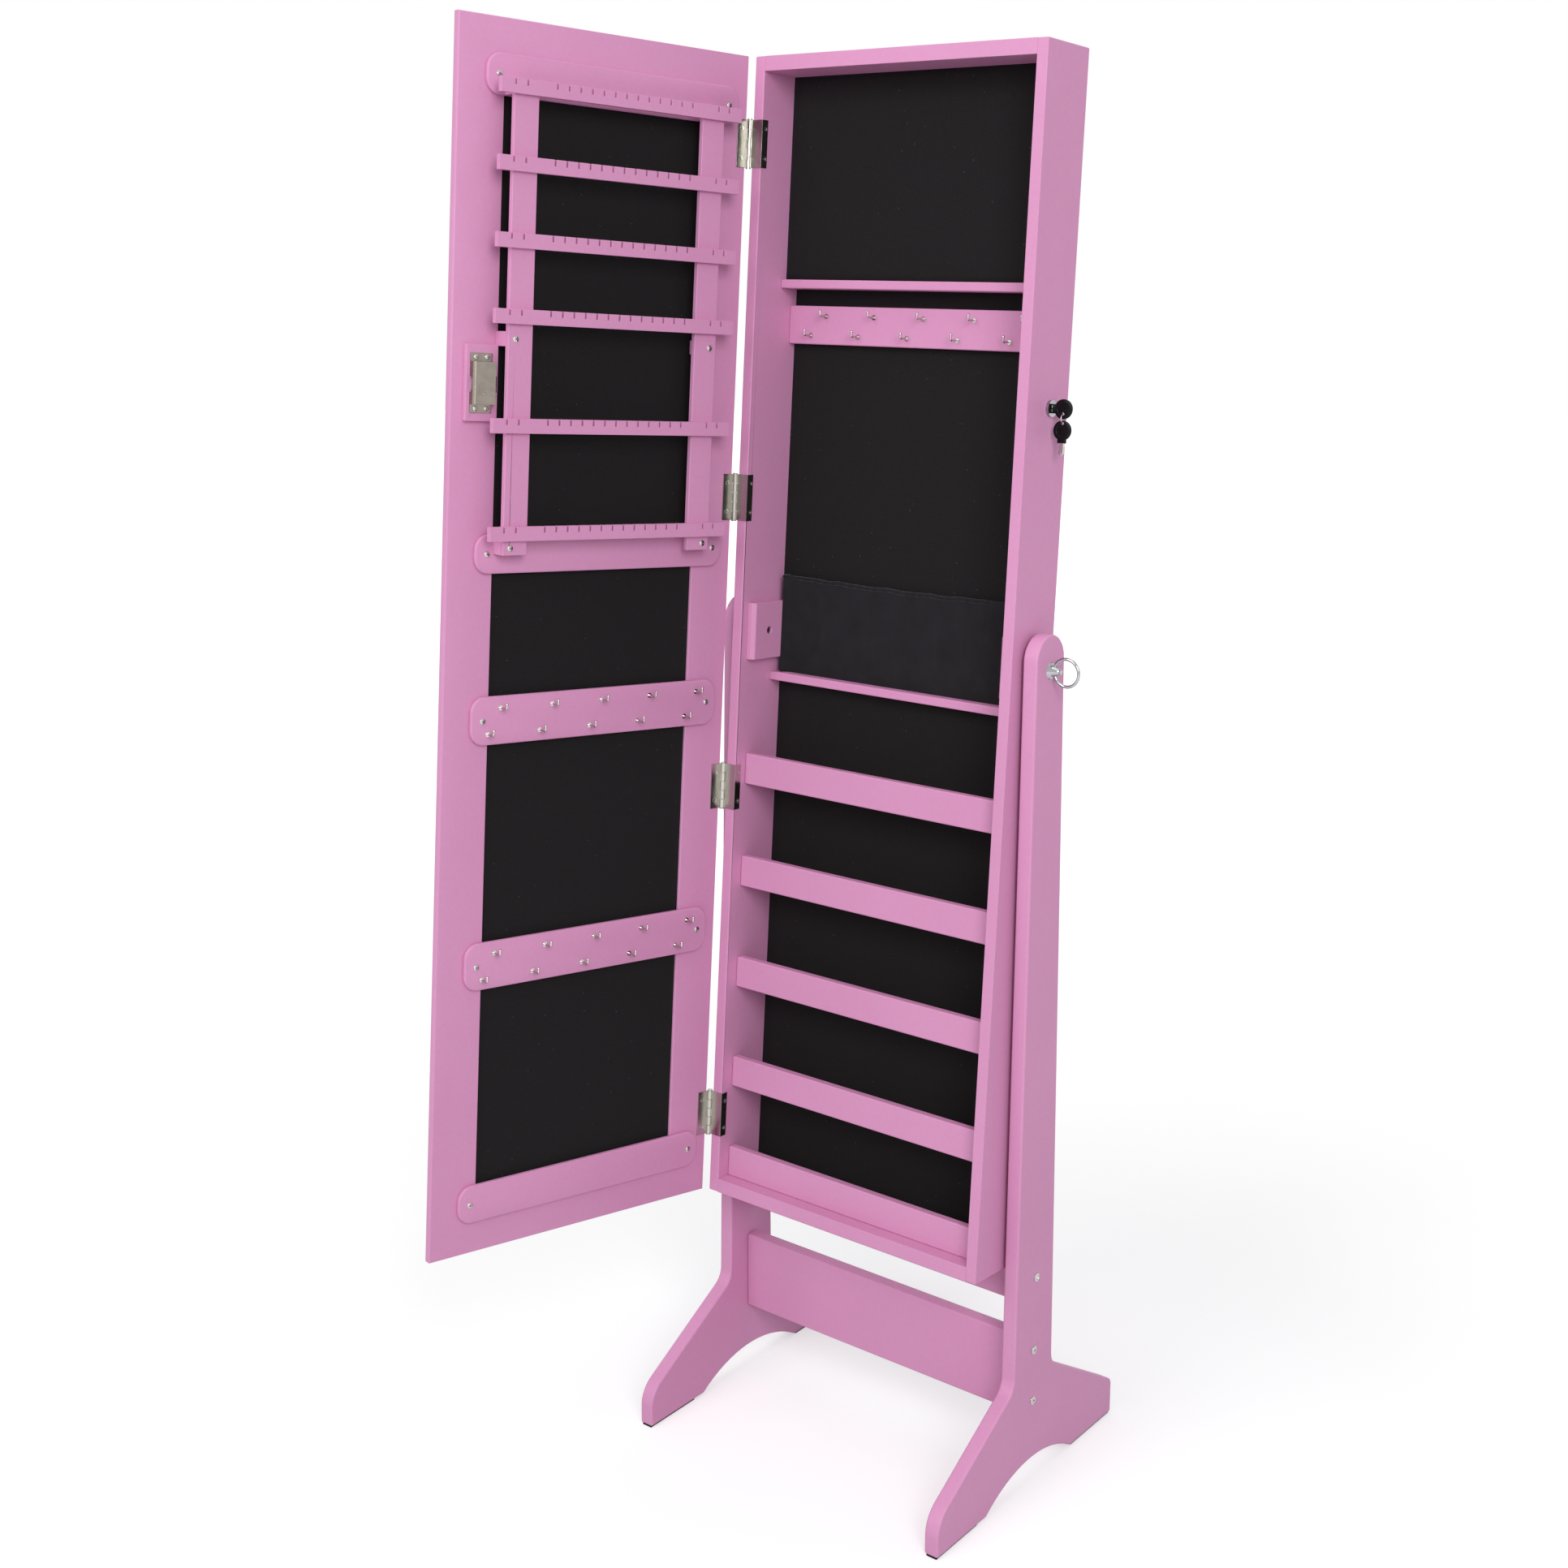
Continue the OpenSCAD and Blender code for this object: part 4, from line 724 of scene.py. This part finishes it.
def keyInPlace(name, node, body, along, bladeLength, holeAt):
    # along is the blade's direction in the cabinet's axes; the head is the wide end of the node
    low, high = localBox(node, cabinetAxes)
    flat = Vector((0, 1, 0))
    radius = max(high.x - low.x, high.z - low.z) / 2
    if abs(along.x) > 0.5:
        radius = (high.z - low.z) / 2
        centre = Vector((high.x - radius, (low.y + high.y) / 2, (low.z + high.z) / 2))
    else:
        radius = (high.x - low.x) / 2
        centre = Vector(((low.x + high.x) / 2, (low.y + high.y) / 2, high.z - radius))
    turn = Matrix((along, flat.cross(along), flat)).transposed()
    matrix = Matrix.Translation(cabinetAxes @ centre) @ (cabinetAxes @ turn * mm).to_4x4()
    head, steel = keyParts(radius / mm, (high.y - low.y) / mm, holeAt, bladeLength, matrix)
    addPiece(name + "Head", head, keyPlastic, body, [node])
    addPiece(name + "Blade", steel, nickel, body, [node])


keyInPlace("lockKey", "lock_key", "lock", Vector((-1, 0, 0)), 3.0, (0, -4.5))
keyInPlace("spareKey", "spare_key", "spare_key", Vector((0, 0, -1)), 11.5, (-6.8, 0))
print("keys made")

# ---- earring pad and necklace pouch ----

earringPad = {"crown": 2.2, "edge": 2.4, "columns": 96, "rows": 64}


def crownedPad(low, high):
    # felt-covered pad between the walls, fuller in its middle and pulled in along its edges
    width, height, thick = ((high - low) / mm).x, ((high - low) / mm).z, ((high - low) / mm).y
    columns, rows = earringPad["columns"], earringPad["rows"]
    shape = bmesh.new()
    sheets = []
    for front in (True, False):
        sheet = []
        for j in range(rows + 1):
            row = []
            for i in range(columns + 1):
                u, v = 2 * i / columns - 1, 2 * j / rows - 1
                fromEdge = min((1 - abs(u)) * width / 2, (1 - abs(v)) * height / 2)
                roll = min(1, fromEdge / earringPad["edge"])
                full = (1 - abs(u) ** 5) * (1 - abs(v) ** 5)
                ripple = noise.noise(Vector((u * 3.1, v * 2.3, 4.0))) * 0.35 * full
                y = thick
                if front:
                    y = thick * 0.45 - thick * 0.45 * math.sqrt(1 - (1 - roll) ** 2)
                    y -= earringPad["crown"] * full
                    y += ripple
                row.append(shape.verts.new((u * width / 2, y, (v + 1) * height / 2)))
            sheet.append(row)
        sheets.append(sheet)
    for sheet in sheets:
        gridFaces(shape, sheet)
    rim = [(i, 0) for i in range(columns)] + [(columns, j) for j in range(rows)]
    rim += [(i, rows) for i in range(columns, 0, -1)] + [(0, j) for j in range(rows, 0, -1)]
    for (i, j), (k, m) in zip(rim, rim[1:] + rim[:1]):
        shape.faces.new((sheets[0][j][i], sheets[0][m][k], sheets[1][m][k], sheets[1][j][i]))
    made = bpy.data.meshes.new("pad")
    shape.to_mesh(made)
    shape.free()
    return made


low, high = localBox("earring_board", cabinetAxes)
corner = Vector(((low.x + high.x) / 2, low.y, low.z))
padPlace = Matrix.Translation(cabinetAxes @ corner) @ (cabinetAxes * mm).to_4x4()
pad = addPiece("earringPad", [(crownedPad(low, high), padPlace)], felt, "cabinet",
               ["earring_board"], math.radians(60))

pouch = {
    "folds": 6, "pleats": 27, "depth": 3.4, "pleatDepth": 0.45, "cloth": 1.0, "sag": 2.0,
    "hem": 2.2, "columns": 360, "rows": 44,
}


def pouchFront(width, height, depth):
    # front and two sides of the pouch as one gathered sheet, open at the top
    shape = bmesh.new()
    columns, rows = pouch["columns"], pouch["rows"]
    side = depth - 1
    total = width + 2 * side
    grid = []
    for j in range(rows + 1):
        v = j / rows
        row = []
        for i in range(columns + 1):
            s = total * i / columns
            if s < side:
                x, y, inFront = 0.0, side - s, 0.0
            elif s > side + width:
                x, y, inFront = width, s - side - width, 0.0
            else:
                x, y = s - side, 0.0
                inFront = min(1, x / 8, (width - x) / 8)
            t = x / width
            drift = noise.noise(Vector((t * 5.0, v * 1.3, 1.0)))
            fold = math.sin(2 * math.pi * (pouch["folds"] * t + 0.35 * drift) + 0.8)
            fold += 0.5 * math.sin(2 * math.pi * (pouch["folds"] * 1.7 * t + 0.3 * drift) + 2.1)
            pleat = math.sin(2 * math.pi * (pouch["pleats"] * t + 0.9 * noise.noise(Vector((t * 9, 0, 3)))))
            belly = math.sin(math.pi * min(1, v * 1.02)) ** 0.7
            top = v ** 4
            push = (pouch["depth"] * (0.42 + 0.28 * fold) * belly
                    + pouch["pleatDepth"] * (0.5 + 0.5 * pleat) * (0.3 * (1 - v) ** 3 + top))
            y += (depth * 0.55 - push) * inFront
            z = height * v - pouch["sag"] * math.sin(math.pi * t) * v ** 2
            z -= 0.8 * top * (0.5 + 0.5 * fold) * inFront
            row.append(shape.verts.new((x - width / 2, y, z)))
        grid.append(row)
    gridFaces(shape, grid)
    edge = [Vector(vertex.co) for vertex in grid[rows]]
    made = bpy.data.meshes.new("pouch")
    shape.to_mesh(made)
    shape.free()
    return made, edge


def hemTube(path, radius):  # rolled hem over the elastic, along the top edge
    shape = bmesh.new()
    sides = 10
    rings = []
    for k, point in enumerate(path):
        ahead = path[min(k + 1, len(path) - 1)] - path[max(k - 1, 0)]
        out = ahead.cross(Vector((0, 0, 1))).normalized()
        rings.append([
            shape.verts.new(point + radius * (out * math.cos(a) * 0.75 + Vector((0, 0, 1)) * math.sin(a)))
            for a in (2 * math.pi * i / sides for i in range(sides))
        ])
    for before, after in zip(rings, rings[1:]):
        for i in range(sides):
            j = (i + 1) % sides
            shape.faces.new((before[i], before[j], after[j], after[i]))
    shape.faces.new(rings[0])
    shape.faces.new(reversed(rings[-1]))
    made = bpy.data.meshes.new("hem")
    shape.to_mesh(made)
    shape.free()
    return made


low, high = localBox("necklace_pouch", cabinetAxes)
pouchSize = (high - low) / mm
corner = Vector(((low.x + high.x) / 2, low.y, low.z))
pouchPlace = Matrix.Translation(cabinetAxes @ corner) @ (cabinetAxes * mm).to_4x4()
cloth, topEdge = pouchFront(pouchSize.x, pouchSize.z - pouch["hem"], pouchSize.y)
pouchCloth = addPiece("pouchCloth", [(cloth, pouchPlace)], velour, "cabinet",
                      ["necklace_pouch"], math.radians(80))
thickness = pouchCloth.modifiers.new("thickness", "SOLIDIFY")
thickness.thickness = pouch["cloth"] * mm
thickness.offset = 0
hem = addPiece("pouchHem", [(hemTube(topEdge, pouch["hem"]), pouchPlace)], velour, "cabinet",
               (), math.radians(80))
print("pad and pouch made")
